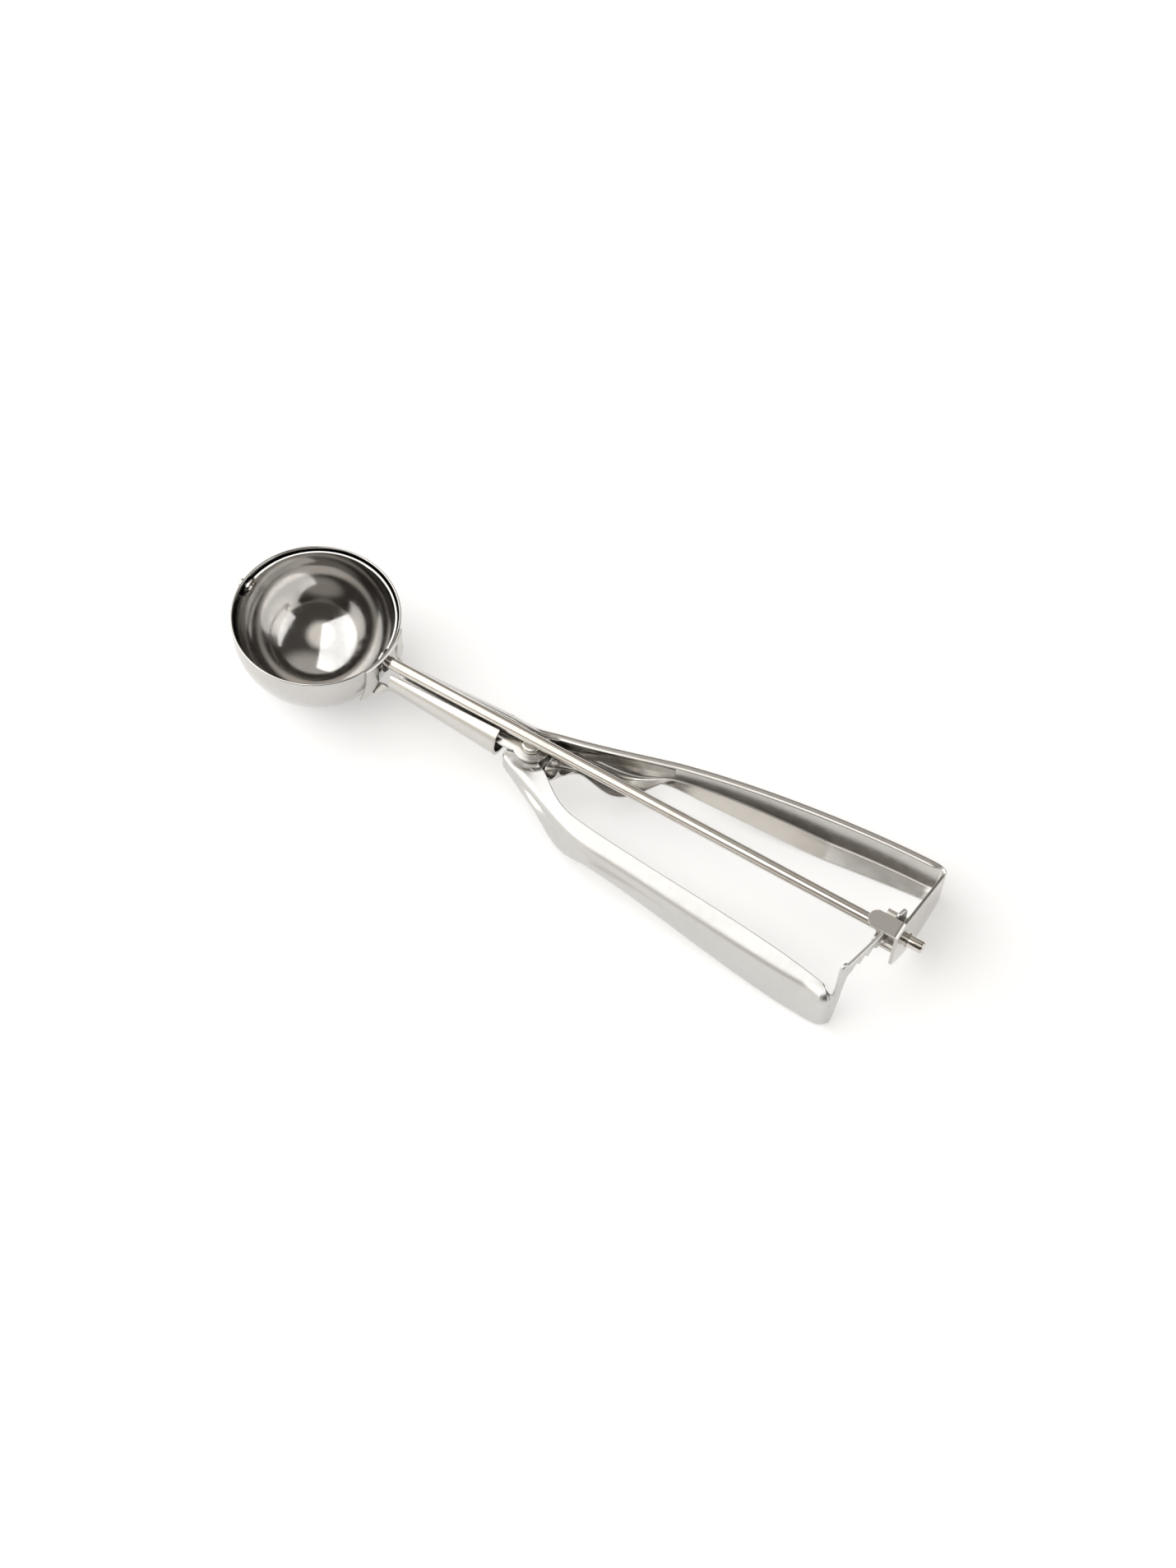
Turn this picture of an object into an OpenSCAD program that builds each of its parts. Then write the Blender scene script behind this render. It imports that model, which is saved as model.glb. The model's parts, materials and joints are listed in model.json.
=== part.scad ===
// Lever ice cream scoop: a spun bowl on a stamped handle, with a second handle that swings on a
// rivet. A toothed tab on the moving handle turns a pinion, and the pinion's rod turns the wiper.
// +X runs from the bowl to the handle ends, +Z out of the bowl's mouth, +Y towards the fixed handle.
// The origin is the centre of the bowl's mouth, in the plane of its rim.

/* [Bowl] */
// Outer radius of the bowl
bowl_r = 25.5; // [22:0.5:27]
// Wall of the bowl
bowl_wall = 0.7; // [0.5:0.1:1]
// How far the bowl's centre and the spindle lie below the rim
spindle_drop = 4.5; // [4:0.1:5]

/* [Wiper and spindle] */
// Radius of the spindle rod
rod_r = 1.85; // [1.7:0.05:2]
// How far the rod stands out behind the end tab
rod_overhang = 6; // [4:0.2:8]
// Thickness of the wiper strip
wiper_t = 0.7; // [0.5:0.1:1]
// Width of the wiper strip at its middle
wiper_w = 6.8; // [5:0.2:7]
// Width of the wiper strip beside its eyes
wiper_end_w = 4.4; // [3.6:0.2:4.8]
// Gap between the wiper and the inside of the bowl
wiper_gap = 0.35; // [0.3:0.05:0.5]
// Radius of the wiper's round eyes
eye_r = 3.1; // [2.8:0.1:3.4]
// Radius of the tenons that carry the wiper
tenon_r = 1.1; // [0.9:0.1:1.2]
// Radius of the pin at the front of the bowl
front_pin_r = 1.5; // [1.4:0.05:1.7]
// How far the front pin stands out of the bowl
front_pin_out = 2.4; // [1.5:0.1:4]
// Radius of the riveted heads inside the wiper
head_r = 2.1; // [1.8:0.1:2.4]
// Height of the riveted heads inside the wiper
head_h = 0.6; // [0.4:0.1:0.8]
// Width of the retaining ring's groove in the rod
ring_t = 0.6; // [0.5:0.1:0.8]
// Depth of the retaining ring's groove in the rod
groove_depth = 0.4; // [0.3:0.05:0.5]
// How far the retaining ring stands proud of the rod
ring_proud = 0.4; // [0.3:0.05:0.6]

/* [Rack and pinion] */
// Gear module
gear_module = 1.15; // [1.1:0.01:1.16]
// Teeth on the pinion
pinion_teeth = 8; // [8:1:8]
// Teeth that a full circle of the rack's arc would have
rack_circle_teeth = 209; // [208:1:210]
// Pressure angle of the teeth
pressure_angle = 30; // [28:1:30]
// Backlash between the teeth
backlash = 0.15; // [0.12:0.01:0.2]
// Length of the pinion
pinion_l = 6.2; // [5:0.2:7]
// Height of the rack's band above its teeth
rack_band = 3.1; // [2.6:0.1:3.4]

/* [Sheet metal] */
// Thickness of the stamped handles
sheet = 1; // [0.8:0.05:1.1]
// Level of the top of both handles
top_z = -8; // [-8.4:0.1:-8]
// Lowest level of both handles, near their ends
foot_z = -24; // [-26:0.5:-22]
// Level of the waist behind the finger rest
waist_z = -18; // [-19:0.25:-17.5]
// Lowest level of the finger rest
finger_z = -21.4; // [-23:0.25:-20]
// Height of the pivot from the fixed handle's top to the underside of its lower ear
pivot_h = 8.3; // [8.1:0.1:9]
// Gap between the pivot's plates
plate_gap = 0.2; // [0.15:0.05:0.3]
// Width of the fixed handle's top lip
lip_w = 2.2; // [1.6:0.1:3]
// Width of the moving handle's bottom lip
bottom_lip_w = 2.5; // [1.6:0.1:3]

/* [Pivot] */
// Distance from the bowl's centre to the pivot
pivot_x = 76; // [76:0.5:76.5]
// Radius of the rivet's shank
rivet_r = 2; // [1.6:0.1:2.2]
// Radius of the rivet's heads
rivet_head_r = 3.6; // [3.2:0.1:4]
// Radius of the fixed handle's ears
ear_r = 5.7; // [5.6:0.1:6]
// Radius of the moving handle's knuckle
knuckle_r = 5.3; // [5:0.1:5.3]
// Thickness of the leaf spring
spring_t = 0.6; // [0.4:0.05:0.7]
// Height of the leaf spring
spring_h = 3.4; // [2.6:0.1:3.5]

/* [Fits] */
// Running clearance of pins, rods and the rivet in their holes
run_fit = 0.06; // [0.04:0.01:0.1]
// Clearance of the spindle rod in the end tab
tab_fit = 0.1; // [0.06:0.01:0.1]
// Clearance left where the moving handle meets its stops
stop_gap = 0.15; // [0.1:0.05:0.2]
// Clearance between the rack's top edge and the guide tongue
guide_gap = 0.2; // [0.15:0.05:0.3]

/* [Hidden] */
$fn = 64;
eps = 0.01;
curve_steps = 14;

// Spindle and bowl
spindle_z = -spindle_drop;
bowl_in_r = bowl_r - bowl_wall;
wiper_r = bowl_in_r - wiper_gap;
wiper_in_r = wiper_r - wiper_t;
seat_margin = 0.3;
rod_seat_x = sqrt(pow(wiper_r, 2) - pow(rod_r + seat_margin, 2));
pin_seat_x = sqrt(pow(wiper_r, 2) - pow(front_pin_r + seat_margin, 2));
head_seat_x = sqrt(pow(wiper_in_r, 2) - pow(head_r, 2));
chamfer = 0.5;

// Rack and pinion, with the rack above the pinion
pitch_r = gear_module * pinion_teeth / 2;
pinion_tip_r = pitch_r + 0.9 * gear_module;
pinion_root_r = pitch_r - 1.1 * gear_module;
base_r = pitch_r * cos(pressure_angle);
rack_r = gear_module * rack_circle_teeth / 2;
rack_pitch_z = spindle_z + pitch_r;
rack_tip_z = rack_pitch_z - 0.9 * gear_module;
rack_root_z = rack_pitch_z + 1.25 * gear_module;
rack_top_z = rack_root_z + rack_band;
rack_step = 360 / rack_circle_teeth;
// The rack is a flat tab, turned a little from square to the rod, which its outer face meets here
rack_lean = 13;
rack_x = pivot_x + rack_r + 1.025;

// Handle ends: the fixed tab, its guide tongue and the corner behind them
tab_in_x = rack_x + 1.7;
tab_x = tab_in_x + sheet;
tab_corner_r = 3.2;
handle_end_y = 29.7;
tongue_y0 = -6.9;
tongue_y1 = -1.2;
tongue_tip_x = tab_x - 10.5;
tongue_z = rack_top_z + guide_gap;
rod_end_x = tab_x + rod_overhang;
ring_x = tab_x + 0.8;
pinion_x0 = tab_in_x - 0.5 - pinion_l;

// Stops: half a turn of the wiper is four teeth of the rack
travel_deg = 180 * pinion_teeth / rack_circle_teeth;
hump_r = rack_r - 2.2;
hump_y = hump_r * sin(asin(tongue_y0 / hump_r) - travel_deg) - stop_gap;
lug_y = tongue_y1 + stop_gap;

// Levels of the pivot's plates
fixed_bottom_z = top_z - pivot_h;
lever_top_z = top_z - sheet - plate_gap;
lever_bottom_z = fixed_bottom_z + sheet + plate_gap;
flange_top_z = lever_top_z + sheet;
recess_r = 7.4;
spring_z = (lever_top_z - sheet + lever_bottom_z + sheet) / 2;

// Shank: a tapered tube with an open top, from the bowl's collar to the pivot
shank_x0 = bowl_r + 2.9;
shank_x1 = pivot_x - 9.5;
shank_r0 = 4.6;
shank_r1 = 6.6;
shank_z0 = -9.9;
shank_z1 = -10.6;
slot_half = rod_r + 0.5;

function bezier_point(p, t) =
    pow(1 - t, 3) * p[0] + 3 * pow(1 - t, 2) * t * p[1]
    + 3 * (1 - t) * pow(t, 2) * p[2] + pow(t, 3) * p[3];
// Points of one cubic curve, without its last point
function bezier(p, n = curve_steps) = [for (i = [0 : n - 1]) bezier_point(p, i / n)];
function arc(c, r, a0, a1, n = 8) =
    [for (i = [0 : n]) c + r * [cos(a0 + (a1 - a0) * i / n), sin(a0 + (a1 - a0) * i / n)]];
function unit(v) = v / norm(v);
function heading(p, i) = unit(p[min(i + 1, len(p) - 1)] - p[max(i - 1, 0)]);
// The same line moved sideways by d, to the left of its heading
function beside(p, d) =
    [for (i = [0 : len(p) - 1]) p[i] + d * [-heading(p, i)[1], heading(p, i)[0]]];
function reversed(p) = [for (i = [len(p) - 1 : -1 : 0]) p[i]];
function involute(a) = tan(a) * 180 / PI - a;

// One curve of a plan: it leaves p at the angle pa and reaches q at the angle qa, and its pulls
// pl and ql say how far it holds to each of them
function curve(p, pa, pl, q, qa, ql) =
    bezier([p, p + pl * [cos(pa), sin(pa)], q - ql * [cos(qa), sin(qa)], q]);

// Both handles open out into channels from here on
neck_x = pivot_x + 8;

// Plan of the fixed handle: its outer wall
fixed_start = [pivot_x - 10, 5.9];
fixed_bend = [pivot_x + 39.3, 18.5];
fixed_bend_a = 16.3;
fixed_end = [tab_x - tab_corner_r, handle_end_y];
fixed_wall = concat(
    curve(fixed_start, 1.2, 14, fixed_bend, fixed_bend_a, 18.1),
    curve(fixed_bend, fixed_bend_a, 20.8, fixed_end, 1, 28.7),
    arc(fixed_end - [0, tab_corner_r], tab_corner_r, 90, 0)
);

// Free edge of its bottom flange: wide beside the pivot and narrow along the handle
apron_start = [neck_x + 0.4, -3.5];
apron_mid = [pivot_x + 15, 3.9];
apron_mid_a = 15;
apron_side = [pivot_x + 26.9, 5.2];
apron_side_a = 32;
apron_end = [pivot_x + 36.4, 15];
fixed_edge_end = [tab_in_x - 2, 25];
fixed_edge = concat(
    curve(apron_start, 54, 3.1, apron_mid, apron_mid_a, 2.7),
    curve(apron_mid, apron_mid_a, 2.7, apron_side, apron_side_a, 4),
    curve(apron_side, apron_side_a, 5.4, apron_end, 39.8, 3.1),
    curve(apron_end, 6.1, 5.6, fixed_edge_end, 5.4, 37),
    [fixed_edge_end, [tab_x, fixed_edge_end[1]]]
);

// Plan of the moving handle: its outer wall from the knuckle to its end corner
knuckle_corner = [pivot_x - 3.4, -5.3];
knuckle_corner_r = 2.8;
knuckle_end = [pivot_x - 4.8, -7.7];
knuckle_end_a = -26.6;
grip_start = [pivot_x + 20, -20.8];
grip_start_a = -28;
grip_waist = [pivot_x + 36, -22.6];
grip_waist_a = -4;
corner_r = 4;
lever_end_y = -28;
corner_y = lever_end_y + corner_r;
corner_x = rack_x + corner_y * tan(rack_lean) - corner_r / cos(rack_lean);
lever_wall = concat(
    arc(knuckle_corner, knuckle_corner_r, 165, 230, 6),
    curve(knuckle_end, knuckle_end_a, 6.5, grip_start, grip_start_a, 9),
    curve(grip_start, grip_start_a, 3, grip_waist, grip_waist_a, 7),
    curve(grip_waist, grip_waist_a, 23, [corner_x, lever_end_y], 0, 17.5),
    arc([corner_x, corner_y], corner_r, -90, -rack_lean),
    [[rack_x + (corner_y + 4) * tan(rack_lean), corner_y + 4]]
);

// Free edge of its top flange
lever_edge_start = [pivot_x + 4, -3.9];
lever_edge_mid = [pivot_x + 22.8, -14.2];
lever_edge_mid_a = -9.5;
lever_edge_end = [rack_x - 10.2, -23.2];
lever_edge = concat(
    curve(lever_edge_start, -13.3, 5.6, lever_edge_mid, lever_edge_mid_a, 9.1),
    curve(lever_edge_mid, lever_edge_mid_a, 19.5, lever_edge_end, -13.3, 22.6),
    [lever_edge_end, [corner_x + 3.05, corner_y]]
);

// Side view of the handles' lower edges, from the pivot to their ends
foot_x = tab_x - 19.9;
function low_edge(z0, finger_x, waist_x) = concat(
    [[pivot_x - 26, z0]],
    curve([neck_x, z0], 0, 6, [finger_x, finger_z], 0, 6),
    curve([finger_x, finger_z], 0, 5, [waist_x, waist_z], 0, 5),
    curve([waist_x, waist_z], 0, 18, [foot_x, foot_z], 0, 22),
    [[foot_x, foot_z], [tab_x + 10, foot_z]]
);
fixed_low = low_edge(fixed_bottom_z, pivot_x + 27, pivot_x + 40);
lever_low = low_edge(lever_bottom_z, pivot_x + 22, pivot_x + 34);

// A plate with the plan between two lines, from z0 up to z1
module strip(a, b, z0, z1) {
    translate([0, 0, z0]) linear_extrude(z1 - z0) polygon(concat(a, reversed(b)));
}

// Everything across the object between a lower and an upper line of its side view
module side_band(low, high) {
    translate([0, 60, 0]) rotate([90, 0, 0]) linear_extrude(120) polygon(concat(low, reversed(high)));
}

// A strip that follows the lower edge of a handle
module low_strip(a, b, low, high) {
    intersection() {
        strip(a, b, foot_z - 1, 0);
        side_band(low, high);
    }
}

function raised(p, dz) = [for (q = p) q + [0, dz]];

module along_x(x0, x1, r) {
    translate([x0, 0, 0]) rotate([0, 90, 0]) cylinder(r = r, h = x1 - x0);
}

// Half of the bowl's inside or outside: a ball below the spindle and a straight band above it
module bowl_body(r) {
    translate([0, 0, spindle_z]) intersection() {
        sphere(r = r, $fn = 96);
        translate([0, 0, -r]) cube([2 * r + 1, 2 * r + 1, 2 * r], center = true);
    }
    translate([0, 0, spindle_z]) cylinder(r = r, h = spindle_drop, $fn = 96);
}

module bowl() {
    color("silver") difference() {
        bowl_body(bowl_r);
        bowl_body(bowl_in_r);
        translate([0, 0, -eps]) cylinder(r = bowl_in_r, h = 1, $fn = 96);
        translate([0, 0, spindle_z]) {
            along_x(-bowl_r - 1, 0, front_pin_r + run_fit);
            along_x(0, bowl_r + 1, rod_r + run_fit);
        }
    }
}

// Collar that hugs the back of the bowl, with an eye for the rod
collar_gap = 0.03;
collar_t = 0.9;
collar_half_a = 27;
collar_strip_h = 1.6;
collar_low_z = -12;
collar_r = bowl_r + collar_gap;
module collar_sector(half_a, z0, z1) {
    translate([0, 0, z0]) linear_extrude(z1 - z0) intersection() {
        difference() {
            circle(r = collar_r + collar_t, $fn = 96);
            circle(r = collar_r, $fn = 96);
        }
        polygon([
            [0, 0],
            60 * [cos(half_a), -sin(half_a)],
            60 * [1, 0],
            60 * [cos(half_a), sin(half_a)]
        ]);
    }
}

collar_eye_r = 3.3;
wing_inner_a = 17.5;
// The wings' free ends lean: cut away what lies beyond the leaning line on side s
module wing_cut(s) {
    wing_top_a = 18.5;
    out_r = collar_r + collar_t;
    lean_t = out_r * (collar_half_a - wing_top_a) * PI / 180;
    rotate([0, 0, s * wing_top_a]) mirror([0, s < 0 ? 1 : 0, 0]) translate([out_r - 4, 0, 0]) {
        rotate([90, 0, 90]) linear_extrude(8) polygon([
            [0, 1], [0, 0], [lean_t, collar_low_z], [lean_t, collar_low_z - 1], [30, -20], [30, 1]
        ]);
    }
}

module collar() {
    collar_sector(wing_inner_a, -collar_strip_h, 0);
    difference() {
        collar_sector(collar_half_a, collar_low_z, 0);
        wing_cut(1);
        wing_cut(-1);
        translate([0, 0, collar_low_z - 1]) linear_extrude(20) polygon([
            [0, 0],
            60 * [cos(wing_inner_a), -sin(wing_inner_a)],
            60 * [cos(wing_inner_a), sin(wing_inner_a)]
        ]);
    }
    intersection() {
        collar_sector(wing_inner_a, spindle_z - collar_eye_r, 0);
        translate([0, 0, spindle_z]) along_x(0, 40, collar_eye_r);
    }
}

// One cheek that joins the collar to the front of the shank, on the side where s is 1 or -1
module cheek(s) {
    cheek_y0 = 9;
    cheek_y1 = shank_r0;
    cheek_x0 = sqrt(pow(collar_r + collar_t / 2, 2) - pow(cheek_y0, 2));
    cheek_x1 = shank_x0 + 1.6;
    intersection() {
        translate([0, 0, collar_low_z]) linear_extrude(-collar_low_z) polygon([
            [cheek_x0, s * cheek_y0],
            [cheek_x0 + 0.8, s * cheek_y0],
            [cheek_x1, s * cheek_y1],
            [cheek_x1, s * (cheek_y1 - sheet)],
            [cheek_x1 - 1.4, s * (cheek_y1 - sheet)]
        ]);
        side_band(
            [[cheek_x0 - 1, collar_low_z], [cheek_x1 + 1, shank_z0 - 0.2]],
            [[cheek_x0 - 1, -0.4], [cheek_x0 + 0.2, -1.2], [cheek_x0 + 2.2, -6.6], [cheek_x1 + 1, -6]]
        );
    }
}

// A tapered shell along X with its centre line from z0 at x0 to z1 at x1
module taper(x0, z0, r0, x1, z1, r1) {
    run = x1 - x0;
    lean = atan2(z0 - z1, run);
    translate([x0, 0, z0]) rotate([0, 90 + lean, 0]) cylinder(r1 = r0, r2 = r1, h = run / cos(lean));
}

module shank() {
    over = 1;
    slope_z = (shank_z1 - shank_z0) / (shank_x1 - shank_x0);
    slope_r = (shank_r1 - shank_r0) / (shank_x1 - shank_x0);
    difference() {
        taper(shank_x0, shank_z0, shank_r0, shank_x1, shank_z1, shank_r1);
        taper(
            shank_x0 - over, shank_z0 - over * slope_z, shank_r0 - sheet - over * slope_r,
            shank_x1 + over, shank_z1 + over * slope_z, shank_r1 - sheet + over * slope_r
        );
        translate([shank_x0 - over, -slot_half, shank_z0]) cube([70, 2 * slot_half, 20]);
    }
}

// The far half of the shank runs on past its cut end, towards the handle's wall
module shank_far_half() {
    skin = 0.12;
    far_x0 = shank_x1 - 1.5;
    far_x1 = pivot_x - knuckle_r - 0.3;
    difference() {
        along_z(shank_z1) along_x(far_x0, far_x1, shank_r1 - skin);
        along_z(shank_z1) along_x(far_x0 - 1, far_x1 + 1, shank_r1 - sheet + skin);
        translate([far_x0 - 1, -10, -30]) cube([20, 10, 40]);
        translate([far_x0 - 1, -1, top_z - sheet / 2]) cube([20, 20, 20]);
    }
}

module along_z(z) {
    translate([0, 0, z]) children();
}

// Plate of one ear: a disc about the rivet and a neck to the shank
module ear(z, neck) {
    along_z(z) linear_extrude(sheet) {
        translate([pivot_x, 0]) circle(r = ear_r);
        polygon(neck);
    }
}

module fixed_ears() {
    ear(top_z - sheet, [
        [shank_x1 - 2, -4.6], [shank_x1, -4.6], [pivot_x - 4, -4.4], [pivot_x, 0],
        [pivot_x + 6, 6], [pivot_x + 6, 7.4], [pivot_x, 6.2], [pivot_x - 9, 5.4], [shank_x1 - 2, 4.9]
    ]);
    ear(fixed_bottom_z, [
        [shank_x1 - 8, -1.5], [shank_x1, -3], [pivot_x, -ear_r], [neck_x, -3.2], [neck_x + 0.4, -2.6],
        [neck_x + 0.4, 8.6], [pivot_x + 4, 7.2], [pivot_x, 6], [shank_x1, 3], [shank_x1 - 8, 1.5]
    ]);
}

// Rolled edge where the near side of the shank starts again beside the pivot
module rolled_edge() {
    roll_r0 = 3;
    roll_r1 = 0.9;
    roll_l = 12;
    roll_wall = 0.6;
    translate([neck_x - 1, -1.2, fixed_bottom_z + roll_r0]) rotate([0, 90 + 9.5, 14]) difference() {
        cylinder(r1 = roll_r0, r2 = roll_r1, h = roll_l);
        translate([0, 0, -eps]) {
            cylinder(r1 = roll_r0 - roll_wall, r2 = 0.1, h = roll_l - 2);
        }
    }
}

module fixed_channel() {
    wall_top = [[pivot_x, top_z], [tab_x + 10, top_z]];
    wall_low = concat([[fixed_start[0], shank_z1], [pivot_x, fixed_bottom_z]],
        [for (p = fixed_low) if (p[0] > pivot_x) p]);
    intersection() {
        strip(fixed_wall, beside(fixed_wall, -sheet), foot_z - 1, 0);
        side_band(wall_low, wall_top);
    }
    lip_line = [for (p = fixed_wall) if (p[0] > pivot_x) p];
    strip(lip_line, beside(lip_line, -lip_w), top_z - sheet, top_z);
    flange_line = [for (p = fixed_wall) if (p[0] > neck_x) p];
    low_strip(flange_line, fixed_edge, fixed_low, raised(fixed_low, sheet));
}

// The end of the fixed handle, turned in across the rod, with a guide tongue on top
module end_tab() {
    tongue_mid = (tongue_y0 + tongue_y1) / 2;
    tongue_r = (tongue_y1 - tongue_y0) / 2;
    tip_r = 2.1;
    tip_z = -8.8;
    outline = concat(
        [[handle_end_y - tab_corner_r, top_z], [tongue_y1, tongue_z + sheet]],
        [[tongue_y0, tongue_z + sheet]],
        arc([tongue_y0 + tip_r, tip_z], tip_r, 180, 230, 5),
        [[0.6, -16.6], [6.5, -20.6], [12.8, foot_z], [handle_end_y - tab_corner_r, foot_z]]
    );
    translate([tab_in_x, 0, 0]) rotate([90, 0, 90]) linear_extrude(sheet) polygon(outline);
    along_z(tongue_z) linear_extrude(sheet) {
        translate([tongue_tip_x + tongue_r, tongue_mid]) circle(r = tongue_r);
        translate([tongue_tip_x + tongue_r, tongue_y0]) {
            square([tab_x - tongue_tip_x - tongue_r, 2 * tongue_r]);
        }
    }
}

module fixed_handle() {
    color("gainsboro") difference() {
        union() {
            collar();
            cheek(1);
            cheek(-1);
            shank();
            shank_far_half();
            fixed_ears();
            rolled_edge();
            fixed_channel();
            end_tab();
        }
        along_z(spindle_z) {
            along_x(bowl_r - 2, shank_x0 + 8, rod_r + run_fit);
            along_x(tab_in_x - 1, tab_x + 1, rod_r + tab_fit);
        }
        translate([pivot_x, 0, fixed_bottom_z - 1]) cylinder(r = rivet_r, h = pivot_h + 2);
    }
}

// Rivet with a stepped top head, a flat bottom head and a shank through all four plates
module pivot_rivet() {
    head_low_h = 0.9;
    step_z = top_z + 0.6;
    crown_z = top_z + 1.3;
    color("silver") translate([pivot_x, 0, 0]) rotate_extrude() polygon([
        [0, fixed_bottom_z - head_low_h], [rivet_head_r - 0.5, fixed_bottom_z - head_low_h],
        [rivet_head_r, fixed_bottom_z - head_low_h / 2], [rivet_head_r, fixed_bottom_z],
        [rivet_r, fixed_bottom_z], [rivet_r, top_z], [rivet_head_r, top_z], [rivet_head_r, step_z],
        [rivet_head_r - 0.6, step_z], [rivet_head_r - 0.8, crown_z - 0.2],
        [rivet_head_r - 1.2, crown_z], [0, crown_z]
    ]);
}

// Hairpin leaf spring: a loop round the rivet and a leg against each handle's wall
module leaf_spring() {
    loop_r = rivet_r + 0.1;
    leg_bow = loop_r + spring_t / 2;
    near_tip = [pivot_x + 21, -19];
    far_tip = [pivot_x + 39.4, 16.9];
    near_leg = curve([pivot_x, -leg_bow], 0, 6, near_tip, -29.2, 11.5);
    far_leg = curve([pivot_x, leg_bow], 0, 8, far_tip, 14.1, 24.1);
    line = concat(
        [near_tip],
        reversed(near_leg),
        [for (a = [-100 : -10 : -260]) [pivot_x, 0] + leg_bow * [cos(a), sin(a)]],
        far_leg,
        [far_tip]
    );
    color("darkgray") strip(
        beside(line, spring_t / 2), beside(line, -spring_t / 2),
        spring_z - spring_h / 2, spring_z + spring_h / 2
    );
}

// Plan of the moving handle beside the rivet, as far as reach from it
module knuckle_plan(reach) {
    translate([pivot_x, 0]) circle(r = knuckle_r);
    polygon(concat(arc(knuckle_corner, knuckle_corner_r, 165, 80, 5), [[pivot_x, 0], [pivot_x, -6]]));
    intersection() {
        polygon(concat(lever_wall, reversed(lever_edge)));
        translate([pivot_x, 0]) circle(r = reach);
    }
}

module lever_plates() {
    // Top flange, set down round the rivet so that it passes under the fixed ear
    difference() {
        strip(lever_wall, lever_edge, flange_top_z - sheet, flange_top_z);
        translate([pivot_x, 0, flange_top_z - 2 * sheet]) cylinder(r = recess_r, h = 4 * sheet);
    }
    along_z(lever_top_z - sheet) linear_extrude(sheet) knuckle_plan(recess_r + sheet);
    along_z(lever_bottom_z) linear_extrude(sheet) knuckle_plan(12);
}

// Outline of the toothed tab, in Y and Z, without its teeth
module rack_side() {
    hump_top_z = rack_top_z + 2.6;
    lug_top_z = rack_top_z + 1.9;
    lug_l = 4;
    lug_round = 1.9;
    hump_round = 1.2;
    foot_y = lever_end_y + corner_r * (1 - sin(rack_lean));
    // The lower edge sweeps up from the foot to the first tooth
    sweep = [
        [0, foot_z], [0.7, foot_z + 1.5], [1.7, foot_z + 6], [2.3, foot_z + 10],
        [2.9, foot_z + 16], [3.5, foot_z + 20.6], [4.3, rack_tip_z]
    ];
    polygon(concat(
        [for (p = sweep) p + [foot_y, 0]],
        [[lug_y + lug_l + 1, rack_tip_z]],
        [[lug_y + lug_l + 1, rack_root_z]],
        arc([lug_y + lug_l - lug_round, lug_top_z - lug_round], lug_round, 0, 90),
        arc([lug_y + 0.9, lug_top_z - 0.9], 0.9, 90, 180, 4),
        [[lug_y, rack_top_z], [hump_y, rack_top_z]],
        arc([hump_y - hump_round, hump_top_z - hump_round], hump_round, 0, 110, 6),
        [[hump_y - 2.8, rack_top_z], [hump_y - 3, -1], [foot_y, flange_top_z]]
    ));
}

// One gap between two teeth of the rack, at angle a about the rivet
module rack_gap(a) {
    low = rack_tip_z - 1;
    half_pitch = PI * gear_module / 4 + backlash / 2;
    function half(z) = half_pitch + (rack_pitch_z - z) * tan(pressure_angle);
    translate([pivot_x, 0, 0]) rotate([0, 0, a]) translate([rack_r - 12, 0, 0]) {
        rotate([90, 0, 90]) linear_extrude(20) polygon([
            [-half(low), low], [half(low), low],
            [half(rack_root_z), rack_root_z], [-half(rack_root_z), rack_root_z]
        ]);
    }
}

module rack_tab() {
    difference() {
        intersection() {
            translate([rack_x, 0, foot_z - 1]) rotate([0, 0, -rack_lean]) {
                translate([-sheet, -40, 0]) cube([sheet, 60, 40]);
            }
            translate([pivot_x + 60, 0, 0]) rotate([90, 0, 90]) linear_extrude(80) rack_side();
        }
        for (i = [-5 : 1]) {
            rack_gap(i * rack_step);
        }
    }
}

module squeeze_handle() {
    top_line = [[pivot_x - 26, flange_top_z], [tab_x + 10, flange_top_z]];
    color("whitesmoke") difference() {
        union() {
            lever_plates();
            intersection() {
                strip(lever_wall, beside(lever_wall, sheet), foot_z - 1, 0);
                side_band(lever_low, top_line);
            }
            lip_line = [for (p = lever_wall) if (p[0] > neck_x) p];
            low_strip(lip_line, beside(lip_line, bottom_lip_w), lever_low, raised(lever_low, sheet));
            rack_tab();
        }
        translate([pivot_x, 0, fixed_bottom_z]) cylinder(r = rivet_r + run_fit, h = pivot_h);
    }
}

// A turned piece about the X axis: each point of its profile is a radius and a place along X
module turned(profile) {
    rotate([0, 90, 0]) rotate_extrude() polygon(profile);
}

module spindle_rod() {
    head_x = head_seat_x - head_h;
    groove_r = rod_r - groove_depth;
    color("silver") along_z(spindle_z) turned([
        [0, head_x], [head_r * 0.6, head_x], [head_r, head_x + head_h * 0.6],
        [head_r, head_seat_x], [tenon_r, head_seat_x], [tenon_r, rod_seat_x], [rod_r, rod_seat_x],
        [rod_r, ring_x], [groove_r, ring_x], [groove_r, ring_x + ring_t], [rod_r, ring_x + ring_t],
        [rod_r, rod_end_x - chamfer], [rod_r - chamfer, rod_end_x], [0, rod_end_x]
    ]);
}

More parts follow.
